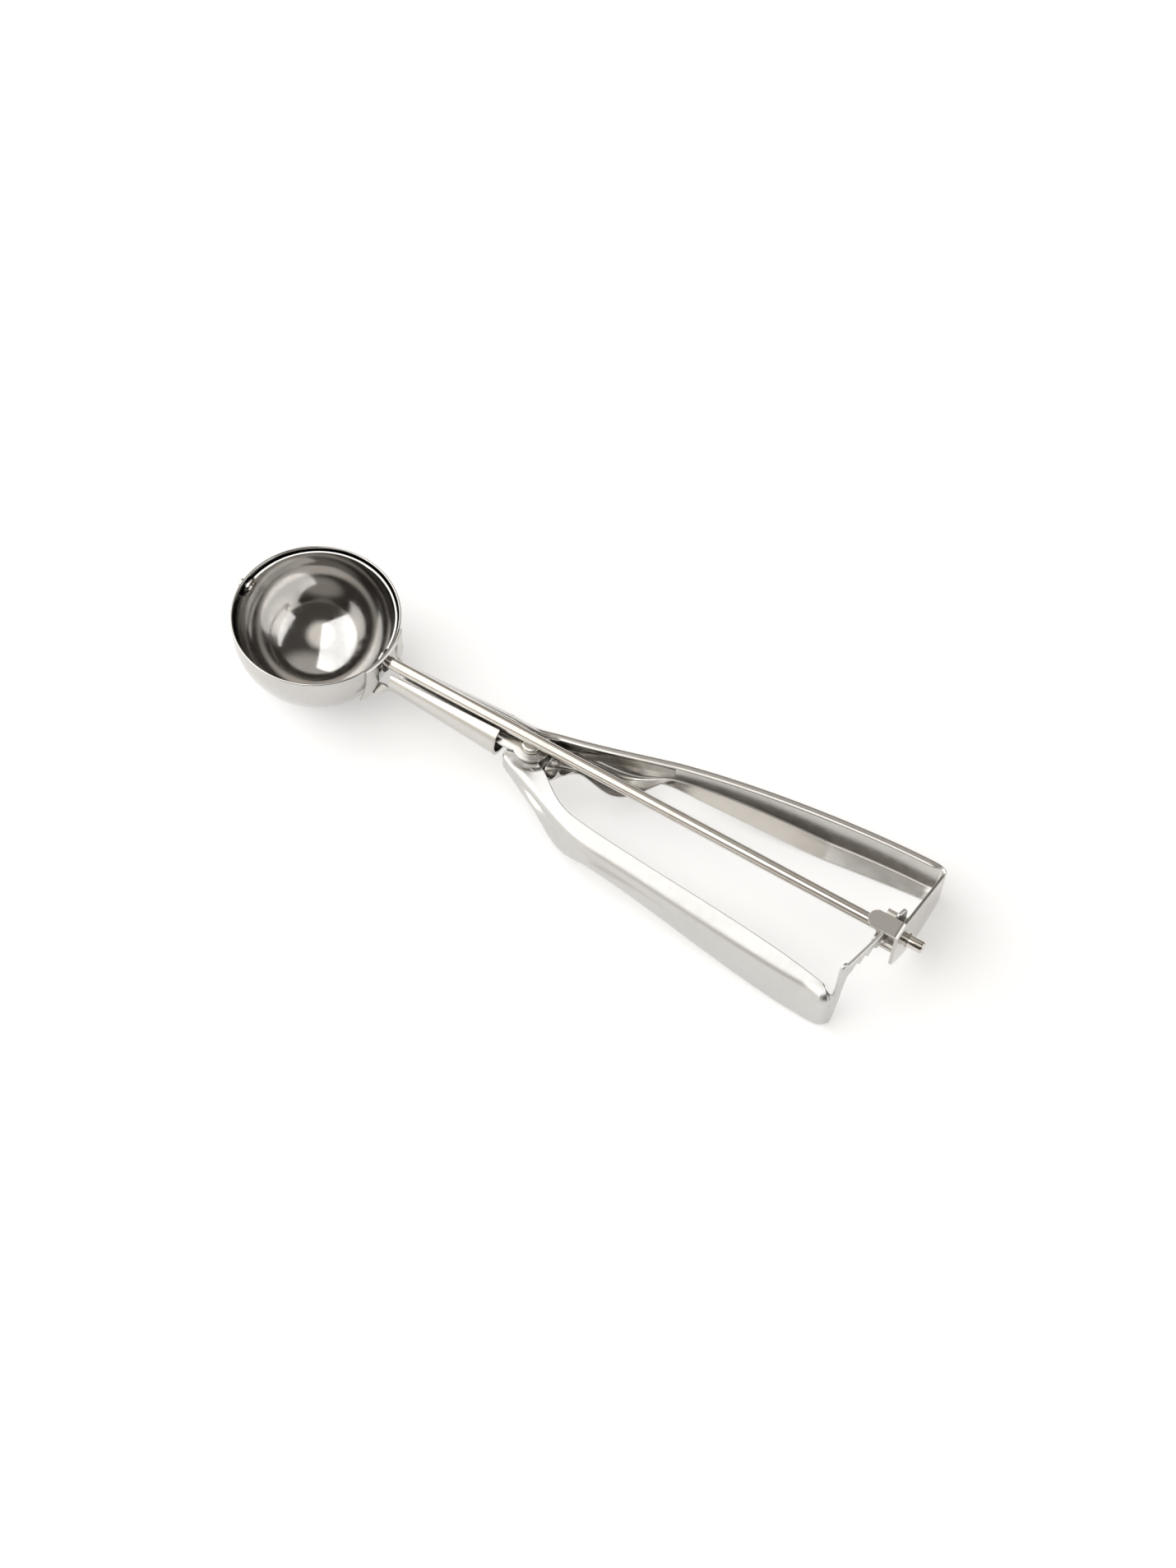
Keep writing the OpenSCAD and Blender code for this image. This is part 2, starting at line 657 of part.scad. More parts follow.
// Half of one tooth's angle at radius r
function tooth_half(r) =
    90 / pinion_teeth + involute(pressure_angle) - involute(acos(min(1, base_r / r)));
function gear_side(side, a) =
    [for (i = [0 : 5])
        let(k = side > 0 ? 5 - i : i, r = base_r + (pinion_tip_r - base_r) * k / 5)
        r * [cos(a + side * tooth_half(r)), sin(a + side * tooth_half(r))]];
function gear_outline() = [
    for (n = [0 : pinion_teeth - 1])
        let(a = 90 + n * 360 / pinion_teeth, w = tooth_half(base_r))
        each concat(
            [pinion_root_r * [cos(a - w), sin(a - w)]],
            gear_side(-1, a),
            gear_side(1, a),
            [pinion_root_r * [cos(a + w), sin(a + w)]]
        )
];

module pinion() {
    color("lightgray") along_z(spindle_z) difference() {
        translate([pinion_x0, 0, 0]) rotate([90, 0, 90]) linear_extrude(pinion_l) polygon(gear_outline());
        along_x(pinion_x0 - 1, pinion_x0 + pinion_l + 1, rod_r);
    }
}

// Strip that lies against the inside of the bowl, with a round eye at each end
module wiper_blade() {
    eye_x = wiper_r * cos(asin(eye_r / wiper_r));
    color("silver") along_z(spindle_z) difference() {
        intersection() {
            difference() {
                sphere(r = wiper_r, $fn = 96);
                sphere(r = wiper_in_r, $fn = 96);
            }
            union() {
                translate([0, wiper_r + 1, 0]) rotate([90, 0, 0]) linear_extrude(wiper_r + 1) {
                    wiper_plan(wiper_r + 1);
                }
                along_x(-wiper_r - 1, -eye_x + 2, eye_r);
                along_x(eye_x - 2, wiper_r + 1, eye_r);
            }
        }
        along_x(-wiper_r - 1, wiper_r + 1, tenon_r);
        along_x(rod_seat_x, wiper_r + 1, rod_r + seat_margin);
        along_x(-wiper_r - 1, -pin_seat_x, front_pin_r + seat_margin);
    }
}

// Strip's outline from the side: widest at the middle and narrow at both ends
module wiper_plan(reach) {
    function half(t) = wiper_end_w / 2 + (wiper_w - wiper_end_w) / 2 * pow(cos(90 * t), 0.8);
    upper = [for (i = [-10 : 10]) [reach * i / 10, half(i / 10)]];
    polygon(concat(upper, [for (p = reversed(upper)) [p[0], -p[1]]]));
}

module front_pin() {
    out_x = bowl_r + front_pin_out;
    head_x = head_seat_x - head_h;
    color("silver") along_z(spindle_z) mirror([1, 0, 0]) turned([
        [0, head_x], [head_r * 0.6, head_x], [head_r, head_x + head_h * 0.6],
        [head_r, head_seat_x], [tenon_r, head_seat_x], [tenon_r, pin_seat_x],
        [front_pin_r, pin_seat_x], [front_pin_r, out_x - chamfer], [front_pin_r - chamfer, out_x],
        [0, out_x]
    ]);
}

// Open wire ring in the rod's groove
module retaining_ring() {
    ring_side_gap = 0.05;
    ring_open = 1.6;
    color("dimgray") along_z(spindle_z) difference() {
        along_x(ring_x + ring_side_gap, ring_x + ring_t - ring_side_gap, rod_r + ring_proud);
        along_x(ring_x - 1, ring_x + ring_t + 1, rod_r - groove_depth + ring_side_gap);
        translate([ring_x - 1, 0, -ring_open / 2]) cube([ring_t + 2, rod_r + 2, ring_open]);
    }
}

bowl();
fixed_handle();
pivot_rivet();
leaf_spring();
squeeze_handle();
spindle_rod();
pinion();
wiper_blade();
front_pin();
retaining_ring();
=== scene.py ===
"""Lever ice cream scoop: its polished pieces, their finishes and a pale studio.

+X runs from the bowl to the handle ends, +Z out of the bowl's mouth and +Y towards the fixed
handle. Shapes are worked out in millimetres and put into meshes in metres.
"""

import json
import logging
import math
from dataclasses import dataclass
from enum import Enum

import bmesh
import bpy
import numpy as np
from mathutils import Matrix, Vector

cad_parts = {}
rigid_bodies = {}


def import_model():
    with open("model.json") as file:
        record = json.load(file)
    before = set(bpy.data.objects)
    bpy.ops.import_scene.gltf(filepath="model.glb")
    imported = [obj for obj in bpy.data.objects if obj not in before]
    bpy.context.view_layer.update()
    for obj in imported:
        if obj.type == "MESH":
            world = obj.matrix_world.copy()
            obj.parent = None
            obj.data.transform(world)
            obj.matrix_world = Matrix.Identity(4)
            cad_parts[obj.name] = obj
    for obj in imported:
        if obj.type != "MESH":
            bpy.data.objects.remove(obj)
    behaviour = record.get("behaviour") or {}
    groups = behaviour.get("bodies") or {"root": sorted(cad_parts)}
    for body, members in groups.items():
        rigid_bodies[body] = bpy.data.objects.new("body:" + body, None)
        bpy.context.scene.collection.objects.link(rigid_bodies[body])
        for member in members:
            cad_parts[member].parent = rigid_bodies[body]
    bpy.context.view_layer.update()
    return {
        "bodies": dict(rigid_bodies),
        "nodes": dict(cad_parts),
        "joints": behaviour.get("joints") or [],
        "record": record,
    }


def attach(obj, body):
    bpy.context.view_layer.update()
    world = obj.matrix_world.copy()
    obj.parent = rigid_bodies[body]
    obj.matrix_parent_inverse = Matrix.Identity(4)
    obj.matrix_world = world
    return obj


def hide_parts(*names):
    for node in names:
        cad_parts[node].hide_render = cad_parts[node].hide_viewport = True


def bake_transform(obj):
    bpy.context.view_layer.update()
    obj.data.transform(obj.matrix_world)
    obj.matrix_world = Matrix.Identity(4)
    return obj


LOG = logging.getLogger("ice_cream_scoop")
MM = 0.001

Array = np.ndarray
Piece = bpy.types.Object
Point = tuple[float, float]
Triple = tuple[float, float, float]
Feed = bpy.types.Node | bpy.types.NodeSocket | float | tuple[float, ...]

# Sizes in millimetres that more than one sub-assembly keeps to.
BOWL_RADIUS = 25.5
BOWL_WALL = 0.7
SPINDLE_Z = -4.5
PIVOT_X = 76.0
TAB_X = 199.9
FOOT_Z = -24.0

FLAT_BEND = 0.02  # angle in radians that an unfolded flange keeps, so that no station loses points
FLAT_RUN = 0.05  # width in millimetres that it keeps for the same reason
PLATE_CREASE = 30.0  # angle in degrees past which a plate's edges are shaded sharp


# ---------------------------------------------------------------- lines and surfaces


def bezier(points: list[Point], count: int = 24) -> Array:
    """Points of one cubic curve or of several in a row, without the last point.

    A curve is the sum of its four control points, each times its Bernstein weight, and its
    last control point is the next curve's first.

    Args:
        points: Control points in plan.
        count: How many points to give for each curve.

    Returns:
        The curves' points.
    """
    p = np.array(points, float)
    t = np.linspace(0.0, 1.0, count, endpoint=False)[:, None]
    u = 1 - t
    return np.concatenate([
        u**3 * a + 3 * u**2 * t * b + 3 * u * t**2 * c + t**3 * d
        for a, b, c, d in zip(p[:-1:3], p[1::3], p[2::3], p[3::3])
    ])


def arc(centre: Point, radius: float, start: float, end: float, count: int = 12) -> Array:
    """Points of a circular arc: the centre plus the radius times cosine and sine of the angle."""
    a = np.radians(np.linspace(start, end, count + 1))
    return np.array(centre) + radius * np.stack([np.cos(a), np.sin(a)], 1)


def smooth_step(low: float, high: float, x: Array) -> Array:
    """Zero below low, one above high, and 3t squared minus 2t cubed between them."""
    t = np.clip((np.asarray(x, float) - low) / (high - low), 0.0, 1.0)
    return t * t * (3.0 - 2.0 * t)


def mix(first: Array | float, second: Array | float, share: Array) -> Array:
    """The first value where the share is 0, the second where it is 1, and evenly between."""
    return first * (1 - share) + second * share


def unit(v: Array) -> Array:
    """Vectors divided by their lengths, along the last axis."""
    return v / np.maximum(np.linalg.norm(v, axis=-1, keepdims=True), 1e-12)


def read(line: Array, at: Array) -> Array:
    """Heights of a line of points (along, height) at some places, by linear interpolation."""
    return np.interp(at, line[:, 0], line[:, 1])


def stretches(*parts: tuple[float, float, int]) -> Array:
    """Distances along a line: each part gives its start, its end and its number of stations."""
    return np.concatenate([np.linspace(*part) for part in parts])


class PlanLine:
    """A line in plan, read by the distance travelled along it."""

    def __init__(self, *parts: Array | list[Point]) -> None:
        """Joins the parts and drops repeated points.

        Args:
            parts: Points of the line, in order.
        """
        joined = np.concatenate([np.asarray(p, float) for p in parts])
        keep = np.ones(len(joined), bool)
        keep[1:] = np.linalg.norm(np.diff(joined, axis=0), axis=1) > 1e-4
        self.points = joined[keep]
        step = np.linalg.norm(np.diff(self.points, axis=0), axis=1)
        self.far = np.concatenate([[0.0], np.cumsum(step)])

    @property
    def length(self) -> float:
        """The whole line's length."""
        return float(self.far[-1])

    def at(self, s: Array) -> Array:
        """Points at the distances s, by linear interpolation."""
        return np.stack([np.interp(s, self.far, self.points[:, k]) for k in (0, 1)], -1)

    def inward(self, s: Array, side: float) -> Array:
        """Unit directions square to the line, whose heading is a chord from behind to ahead.

        Args:
            s: Distances along the line.
            side: 1 for the left of the heading, or -1 for its right.

        Returns:
            One direction for each distance.
        """
        half_chord = 0.35
        behind, ahead = np.maximum(s - half_chord, 0.0), np.minimum(s + half_chord, self.length)
        heading = unit(self.at(ahead) - self.at(behind))
        return side * np.stack([-heading[:, 1], heading[:, 0]], 1)

    def where(self, axis: int, value: float, last: bool = True) -> float:
        """Finds where the line crosses a value of X or Y.

        Args:
            axis: 0 for X, or 1 for Y.
            value: The value that is crossed.
            last: Whether the last crossing counts, and not the first.

        Returns:
            The crossing's distance along the line.
        """
        side = self.points[:, axis] - value
        hits = np.nonzero(side[:-1] * side[1:] <= 0)[0]
        i = int(hits[-1] if last else hits[0])
        run = self.points[i + 1, axis] - self.points[i, axis]
        t = (value - self.points[i, axis]) / run if abs(run) > 1e-9 else 0.0
        return float(self.far[i] + t * (self.far[i + 1] - self.far[i]))


def soften(values: Array, s: Array, width: float) -> Array:
    """Smooths values along a line: means weighted by a bell curve of the distance.

    Args:
        values: One value for each station.
        s: The stations' distances along the line.
        width: The bell curve's width.

    Returns:
        The smoothed values.
    """
    weight = np.exp(-(((s[:, None] - s[None]) / width) ** 2))
    weight *= np.gradient(s)[None]
    return weight @ values / weight.sum(1)


def reach(start: Array, way: Array, edge: Array, missing: float) -> Array:
    """How far each ray travels before it meets an edge line.

    Each ray and each edge segment are solved as two lines that cross; the nearest crossing
    ahead of the ray counts.

    Args:
        start: Ray starts, one a row.
        way: Unit ray directions.
        edge: Points of the edge line.
        missing: Distance given to a ray that meets nothing.

    Returns:
        One distance for each ray.
    """
    a, b = edge[:-1][None], np.diff(edge, axis=0)[None]
    d, rel = way[:, None], a - start[:, None]
    cross = d[..., 0] * b[..., 1] - d[..., 1] * b[..., 0]
    cross = np.where(np.abs(cross) < 1e-9, 1e-9, cross)
    t = (rel[..., 0] * b[..., 1] - rel[..., 1] * b[..., 0]) / cross
    u = (rel[..., 0] * d[..., 1] - rel[..., 1] * d[..., 0]) / cross
    hit = np.where((t > 0) & (u >= 0) & (u <= 1), t, np.inf).min(1)
    return np.where(np.isfinite(hit), hit, missing)


def mesh_object(name: str, points: Array, faces: list[list[int]]) -> Piece:
    """A piece from points in millimetres, with doubles merged and its faces turned outwards.

    Args:
        name: The piece's name.
        points: Its points, in a grid or one a row.
        faces: Its faces, as lists of point numbers.

    Returns:
        The piece.
    """
    mesh = bpy.data.meshes.new(name)
    mesh.from_pydata((points.reshape(-1, 3) * MM).tolist(), [], faces)
    work = bmesh.new()
    work.from_mesh(mesh)
    bmesh.ops.remove_doubles(work, verts=work.verts, dist=0.002 * MM)
    bmesh.ops.recalc_face_normals(work, faces=work.faces)
    work.to_mesh(mesh)
    work.free()
    mesh.update()
    made = bpy.data.objects.new(name, mesh)
    bpy.context.scene.collection.objects.link(made)
    return made


def tube_faces(rows: int, columns: int, caps: bool) -> list[list[int]]:
    """Faces of a grid whose columns close on themselves.

    Args:
        rows: Stations of the grid.
        columns: Points round each station.
        caps: Whether strips of faces close both ends.

    Returns:
        The faces, as lists of point numbers.
    """
    i, j = np.meshgrid(np.arange(rows - 1) * columns, np.arange(columns), indexing="ij")
    after = (j + 1) % columns
    quads = np.stack([i + j, i + after, i + columns + after, i + columns + j], -1)
    faces = quads.reshape(-1, 4).tolist()
    if caps:
        k = np.arange(columns // 2 - 1)
        cap = np.stack([k, k + 1, columns - 2 - k, columns - 1 - k], -1)
        faces += cap.tolist() + (cap + (rows - 1) * columns).tolist()
    return faces


def sheet_metal(name: str, middle: Array, normal: Array, thickness: float) -> Piece:
    """A closed piece of sheet from its middle surface.

    Each point of the middle surface gives one point half a thickness up its normal and one half
    a thickness down. The free long edges get a small chamfer, and both ends are closed.

    Args:
        name: The piece's name.
        middle: Points of the middle surface, as rows of stations and columns across the sheet.
        normal: Unit normals of the same shape.
        thickness: The sheet's thickness.

    Returns:
        The piece.
    """
    half, chamfer = thickness / 2, thickness * 0.16
    first = middle[:, :1] + unit(middle[:, :1] - middle[:, 1:2]) * chamfer
    last = middle[:, -1:] + unit(middle[:, -1:] - middle[:, -2:-1]) * chamfer
    first_rim, last_rim = normal[:, :1] * (half - chamfer), normal[:, -1:] * (half - chamfer)
    up, down = middle + normal * half, middle - normal * half
    loop = [first + first_rim, up, last + last_rim, last - last_rim, down[:, ::-1], first - first_rim]
    grid = np.concatenate(loop, 1)
    return mesh_object(name, grid, tube_faces(*grid.shape[:2], True))


def turned(name: str, profile: Array, segments: int = 128, upright: bool = False) -> Piece:
    """A turned piece about the spindle's line along X, or about the bowl's line along Z.

    Each profile point gives a ring: its radius times the cosine of the angle one way, and its
    radius times the sine the other way. Ends with no radius close to a point.

    Args:
        name: The piece's name.
        profile: Points (along, radius).
        segments: Points of each ring.
        upright: Whether it turns about the bowl's line.

    Returns:
        The piece.
    """
    a = np.linspace(0, 2 * np.pi, segments, endpoint=False)[None]
    along = np.broadcast_to(profile[:, :1], (len(profile), segments))
    radius = np.maximum(profile[:, 1:], 1e-5)
    one, other = radius * np.cos(a), radius * np.sin(a)
    grid = np.stack((one, other, along) if upright else (along, one, SPINDLE_Z + other), -1)
    return mesh_object(name, grid, tube_faces(len(profile), segments, False))


def plate(name: str, outline: Array, low: float, high: float, bevel: float) -> Piece:
    """A flat plate: its outline at two heights, joined by side walls, with its rims bevelled.

    Args:
        name: The piece's name.
        outline: Points of the outline in plan.
        low: Level of the lower face.
        high: Level of the upper face.
        bevel: Width of the bevel.

    Returns:
        The piece.
    """
    n = len(outline)
    k = np.arange(n)
    points = np.concatenate([np.c_[outline, np.full(n, level)] for level in (low, high)])
    sides = np.stack([k, (k + 1) % n, (k + 1) % n + n, k + n], -1).tolist()
    made = mesh_object(name, points, [k[::-1].tolist(), (k + n).tolist(), *sides])
    rim = made.modifiers.new("rim", "BEVEL")
    rim.width, rim.segments = bevel * MM, 2
    rim.limit_method, rim.angle_limit = "ANGLE", math.radians(50)
    return bake(made)


def bake(made: Piece) -> Piece:
    """Puts a piece's modifiers into its mesh.

    Args:
        made: The piece.

    Returns:
        The same piece.
    """
    bpy.context.view_layer.update()
    shaped = made.evaluated_get(bpy.context.evaluated_depsgraph_get())
    mesh = bpy.data.meshes.new_from_object(shaped)
    made.modifiers.clear()
    made.data = mesh
    mesh.name = made.name
    return made


def drill(made: Piece, start: float, end: float, radius: float) -> Piece:
    """Cuts a round hole through a piece, on the spindle's line.

    Args:
        made: The piece.
        start: X at which the drill starts.
        end: X at which it ends.
        radius: The hole's radius.

    Returns:
        The same piece.
    """
    profile = np.array([(start, 0), (start, radius), (end, radius), (end, 0)], float)
    cutter = turned("cutter", profile, 64)
    cut = made.modifiers.new("hole", "BOOLEAN")
    cut.operation, cut.solver, cut.object = "DIFFERENCE", "EXACT", cutter
    bake(made)
    bpy.data.objects.remove(cutter)
    return made


@dataclass(frozen=True)
class Fold:
    """A channel's flange, with one value for each station.

    The sheet turns inwards from the wall through bend at radius and runs on for flat, and its
    highest or lowest point lies at level.
    """

    level: Array
    bend: Array
    flat: Array
    radius: Array

    def spread(self, sign: float) -> tuple[Array, Array, Array, Array]:
        """Works out the flange's points, from the wall to its free edge.

        Within the bend the sheet's angle grows evenly, so its points are the radius times one
        minus cosine inwards and the radius times sine along the wall. The flat then runs on at
        the bend's full angle.

        Args:
            sign: 1 for the flange above the wall, or -1 for the one below.

        Returns:
            s, z and the sheet's angle, with a row for every station, and the wall's end level.
        """
        bend, flat, radius = (v[:, None] for v in (self.bend, self.flat, self.radius))
        end = self.level[:, None] - sign * (radius * np.sin(bend) + flat * np.cos(bend))
        turn = bend * np.linspace(0, 1, 13)
        run = flat * np.linspace(0, 1, 14)[1:]
        bend_z, flat_z = end + sign * radius * np.sin(turn), end + sign * radius * np.sin(bend)
        flat_s = radius * (1 - np.cos(bend)) + run * np.sin(bend)
        s = np.concatenate([radius * (1 - np.cos(turn)), flat_s], 1)
        z = np.concatenate([bend_z, flat_z + sign * run * np.cos(bend)], 1)
        return s, z, sign * np.concatenate([turn, np.broadcast_to(bend, run.shape)], 1), end


@dataclass(frozen=True)
class Section:
    """A channel's section: a wall with one flange above and one below.

    The wall stands on its line, s grows inwards and z upwards. draw_in leans the wall: it is how
    far its upper end and the upper flange are set inwards, and the set grows with the square of
    the height over the wall's lower end.
    """

    top: Fold
    low: Fold
    draw_in: Array | float = 0.0

    def loft(self, line: PlanLine, stations: Array, side: float, inset: float) -> tuple[Array, Array]:
        """Carries the section along a line in plan.

        Args:
            line: The outer face of the wall in plan.
            stations: Distances along the line.
            side: 1 where the channel opens to the left of the heading, or -1 to the right.
            inset: Distance from the outer face to the sheet's middle.

        Returns:
            The middle surface and its normals.
        """
        top_s, top_z, top_angle, high = self.top.spread(1.0)
        low_s, low_z, low_angle, foot = self.low.spread(-1.0)
        wall_z = high + (foot - high) * np.linspace(0, 1, 14)[1:-1]
        wall = np.zeros_like(wall_z)
        s = np.concatenate([top_s[:, ::-1], wall, low_s], 1)
        z = np.concatenate([top_z[:, ::-1], wall_z, low_z], 1)
        angle = np.concatenate([top_angle[:, ::-1], wall, low_angle], 1)[..., None]
        share = np.clip((z - foot) / np.maximum(high - foot, 0.1), 0, 1)
        s = s + np.asarray(self.draw_in)[..., None] * share * share
        inward = line.inward(stations, side)
        plan = (line.at(stations) + inward * inset)[:, None] + inward[:, None] * s[..., None]
        normal = np.concatenate([inward[:, None] * -np.cos(angle), np.sin(angle)], -1)
        return np.concatenate([plan, z[..., None]], -1), unit(normal)


def grip_edge(x: Array, bulge: float, waist: float, levels: tuple[float, float, float]) -> Array:
    """Lowest level of a grip against X: neck, finger bulge, waist and foot.

    A cubic curve that leaves and arrives level leads from each level to the next.

    Args:
        x: Where the level is asked.
        bulge: X of the finger bulge.
        waist: X of the waist behind it.
        levels: Levels of the neck, the bulge and the waist.

    Returns:
        One level for each x.
    """
    neck, rest, narrow = levels
    curves = bezier([
        (84, neck), (90, neck), (bulge - 6, rest), (bulge, rest), (bulge + 5, rest),
        (waist - 5, narrow), (waist, narrow), (waist + 18, narrow), (158, FOOT_Z), (180, FOOT_Z),
    ])
    return read(np.concatenate([[(50, neck)], curves, [(180, FOOT_Z), (210, FOOT_Z)]]), x)


# ---------------------------------------------------------------- finishes


class Metal(Enum):
    """The finishes, by the record's material slots."""

    BOWL = "bowl_steel"
    HANDLE = "handle_nickel"
    LEVER = "lever_nickel"
    ROD = "rod_steel"
    GEAR = "gear_steel"
    SPRING = "spring_steel"


@dataclass(frozen=True)
class Finish:
    """One polished or drawn metal: its colours, how clear its mirror is, and its grain."""

    bright: Triple
    dull: Triple
    clear: float
    hazy: float
    grain: Triple
    grain_depth: float
    wave: float


FINISHES: dict[Metal, Finish] = {
    Metal.BOWL: Finish((0.55, 0.54, 0.525), (0.49, 0.48, 0.465), 0.07, 0.15, (60, 60, 900), 0.006, 0.03),
    Metal.HANDLE: Finish((0.60, 0.585, 0.56), (0.565, 0.55, 0.525), 0.19, 0.26, (90, 500, 500), 0.002, 0.05),
    Metal.LEVER: Finish((0.58, 0.575, 0.56), (0.555, 0.55, 0.535), 0.28, 0.36, (90, 500, 500), 0.004, 0.05),
    Metal.ROD: Finish((0.66, 0.635, 0.59), (0.50, 0.46, 0.41), 0.06, 0.16, (25, 900, 900), 0.010, 0.04),
    Metal.GEAR: Finish((0.62, 0.60, 0.56), (0.34, 0.32, 0.29), 0.18, 0.40, (900, 200, 200), 0.05, 0.05),
    Metal.SPRING: Finish((0.42, 0.40, 0.36), (0.20, 0.18, 0.16), 0.16, 0.36, (60, 600, 600), 0.04, 0.05),
}


def feed(node: bpy.types.Node, inputs: dict[str | int, Feed]) -> bpy.types.Node:
    """Links or sets a node's inputs.

    Args:
        node: The node.
        inputs: What each input gets: a socket, another node's first output, or a plain value.

    Returns:
        The same node.
    """
    for label, value in inputs.items():
        if isinstance(value, bpy.types.Node):
            value = value.outputs[0]
        if isinstance(value, bpy.types.NodeSocket):
            node.id_data.links.new(value, node.inputs[label])
        else:
            node.inputs[label].default_value = value
    return node


def add_node(
    tree: bpy.types.NodeTree, kind: str, inputs: dict[str | int, Feed], **settings: object
) -> bpy.types.Node:
    """Adds a shader node to a tree.

    Args:
        tree: The node tree.
        kind: The node's type, without the word ShaderNode.
        inputs: What each input gets, as for feed.
        settings: The node's own settings, such as its operation.

    Returns:
        The node.
    """
    node = tree.nodes.new("ShaderNode" + kind)
    for setting, value in settings.items():
        setattr(node, setting, value)
    return feed(node, inputs)


def add_group(name: str, inputs: dict[str, object], outputs: dict[str, str]) -> tuple:
    """Makes an empty node group with named sockets.

    Args:
        name: The group's name.
        inputs: The default of each input; its length tells float, vector and colour apart.
        outputs: The kind of each output: Float or Color.

    Returns:
        The group, its input node's sockets and its output node.
    """
    group = bpy.data.node_groups.new(name, "ShaderNodeTree")
    for label, value in inputs.items():
        kind = {1: "Float", 3: "Vector", 4: "Color"}[np.size(value)]
        socket = group.interface.new_socket(label, in_out="INPUT", socket_type="NodeSocket" + kind)
        socket.default_value = value
    for label, kind in outputs.items():
        group.interface.new_socket(label, in_out="OUTPUT", socket_type="NodeSocket" + kind)
    enter, leave = (group.nodes.new(kind) for kind in ("NodeGroupInput", "NodeGroupOutput"))
    return group, enter.outputs, leave


def handling_haze() -> bpy.types.NodeTree:
    """Faint smudges and polishing haze: the product of a broad and a fine noise, as a mask.

    Returns:
        The node group.
    """
    inputs = {
        "Vector": (0.0, 0.0, 0.0), "Broad Scale": 45.0, "Fine Scale": 400.0,
        "Clear": (1.0, 1.0, 1.0, 1.0), "Dull": (0.5, 0.5, 0.5, 1.0), "Smooth": 0.1, "Rough": 0.3,
    }
    outputs = {"Colour": "Color", "Roughness": "Float", "Mask": "Float"}
    group, enter, leave = add_group("Handling Haze", inputs, outputs)
    broad, fine = (
        add_node(group, "TexNoise", {"Vector": enter["Vector"], "Scale": enter[scale], "Detail": detail})
        for scale, detail in (("Broad Scale", 3.0), ("Fine Scale", 5.0))
    )
    both = add_node(group, "Math", {0: broad, 1: fine}, operation="MULTIPLY")
    mask = add_node(group, "MapRange", {"Value": both, "From Min": 0.16, "From Max": 0.42})
    half = add_node(group, "Math", {0: mask, 1: 0.55}, operation="MULTIPLY")
    shades = {"Factor": half, 6: enter["Clear"], 7: enter["Dull"]}
    colour = add_node(group, "Mix", shades, data_type="RGBA")
    limits = {"To Min": enter["Smooth"], "To Max": enter["Rough"]}
    rough = add_node(group, "MapRange", {"Value": mask, **limits})
    feed(leave, {"Colour": colour.outputs[2], "Roughness": rough, "Mask": mask})
    return group


def polishing_grain() -> bpy.types.NodeTree:
    """Drawn or polished grain as a height: a noise stretched along the way of working.

    Returns:
        The node group.
    """
    inputs = {"Vector": (0.0, 0.0, 0.0), "Stretch": (1.0, 1.0, 1.0), "Wave": 0.05}
    group, enter, leave = add_group("Polishing Grain", inputs, {"Height": "Float"})
    place = enter["Vector"]
    drawn = add_node(group, "VectorMath", {0: place, 1: enter["Stretch"]}, operation="MULTIPLY")
    lines = add_node(group, "TexNoise", {"Vector": drawn, "Scale": 1.0, "Detail": 6.0})
    swell = add_node(group, "TexNoise", {"Vector": place, "Scale": 60.0, "Detail": 1.0})
    feed(leave, {"Height": add_node(group, "Mix", {"Factor": enter["Wave"], 2: lines, 3: swell})})
    return group


class Finishes:
    """Makes each finish's material once and gives it to pieces."""

    grain_height = 0.0004  # metres that the grain stands up at full strength

    def __init__(self) -> None:
        """Builds the shared groups and one material for each metal."""
        self.haze, self.grain = handling_haze(), polishing_grain()
        self.made = {metal: self.material(metal) for metal in Metal}

    def material(self, metal: Metal) -> bpy.types.Material:
        """One metal: a Principled shader fed by the haze and grain groups.

        Args:
            metal: Which of the metals.

        Returns:
            Its material.
        """
        finish = FINISHES[metal]
        material = bpy.data.materials.new(metal.value)
        material.use_nodes = True
        tree = material.node_tree
        place = add_node(tree, "TexCoord", {}).outputs["Object"]
        looks = {
            "Vector": place, "Clear": (*finish.bright, 1.0), "Dull": (*finish.dull, 1.0),
            "Smooth": finish.clear, "Rough": finish.hazy,
        }
        haze = add_node(tree, "Group", looks, node_tree=self.haze)
        work = {"Vector": place, "Stretch": finish.grain, "Wave": finish.wave}
        grain = add_node(tree, "Group", work, node_tree=self.grain)
        height = {"Height": grain, "Strength": finish.grain_depth, "Distance": self.grain_height}
        feed(tree.nodes["Principled BSDF"], {
            "Metallic": 1.0,
            "Base Color": haze.outputs["Colour"],
            "Roughness": haze.outputs["Roughness"],
            "Normal": add_node(tree, "Bump", height),
        })
        return material

    def dress(self, piece: Piece, metal: Metal) -> None:
        """Gives a piece one metal on all its faces.

        Args:
            piece: A new piece, or a kept solid that has its slots already.
            metal: The metal.
        """
        if not piece.material_slots:
            piece.data.materials.append(None)
        for place in piece.material_slots:
            place.material = self.made[metal]


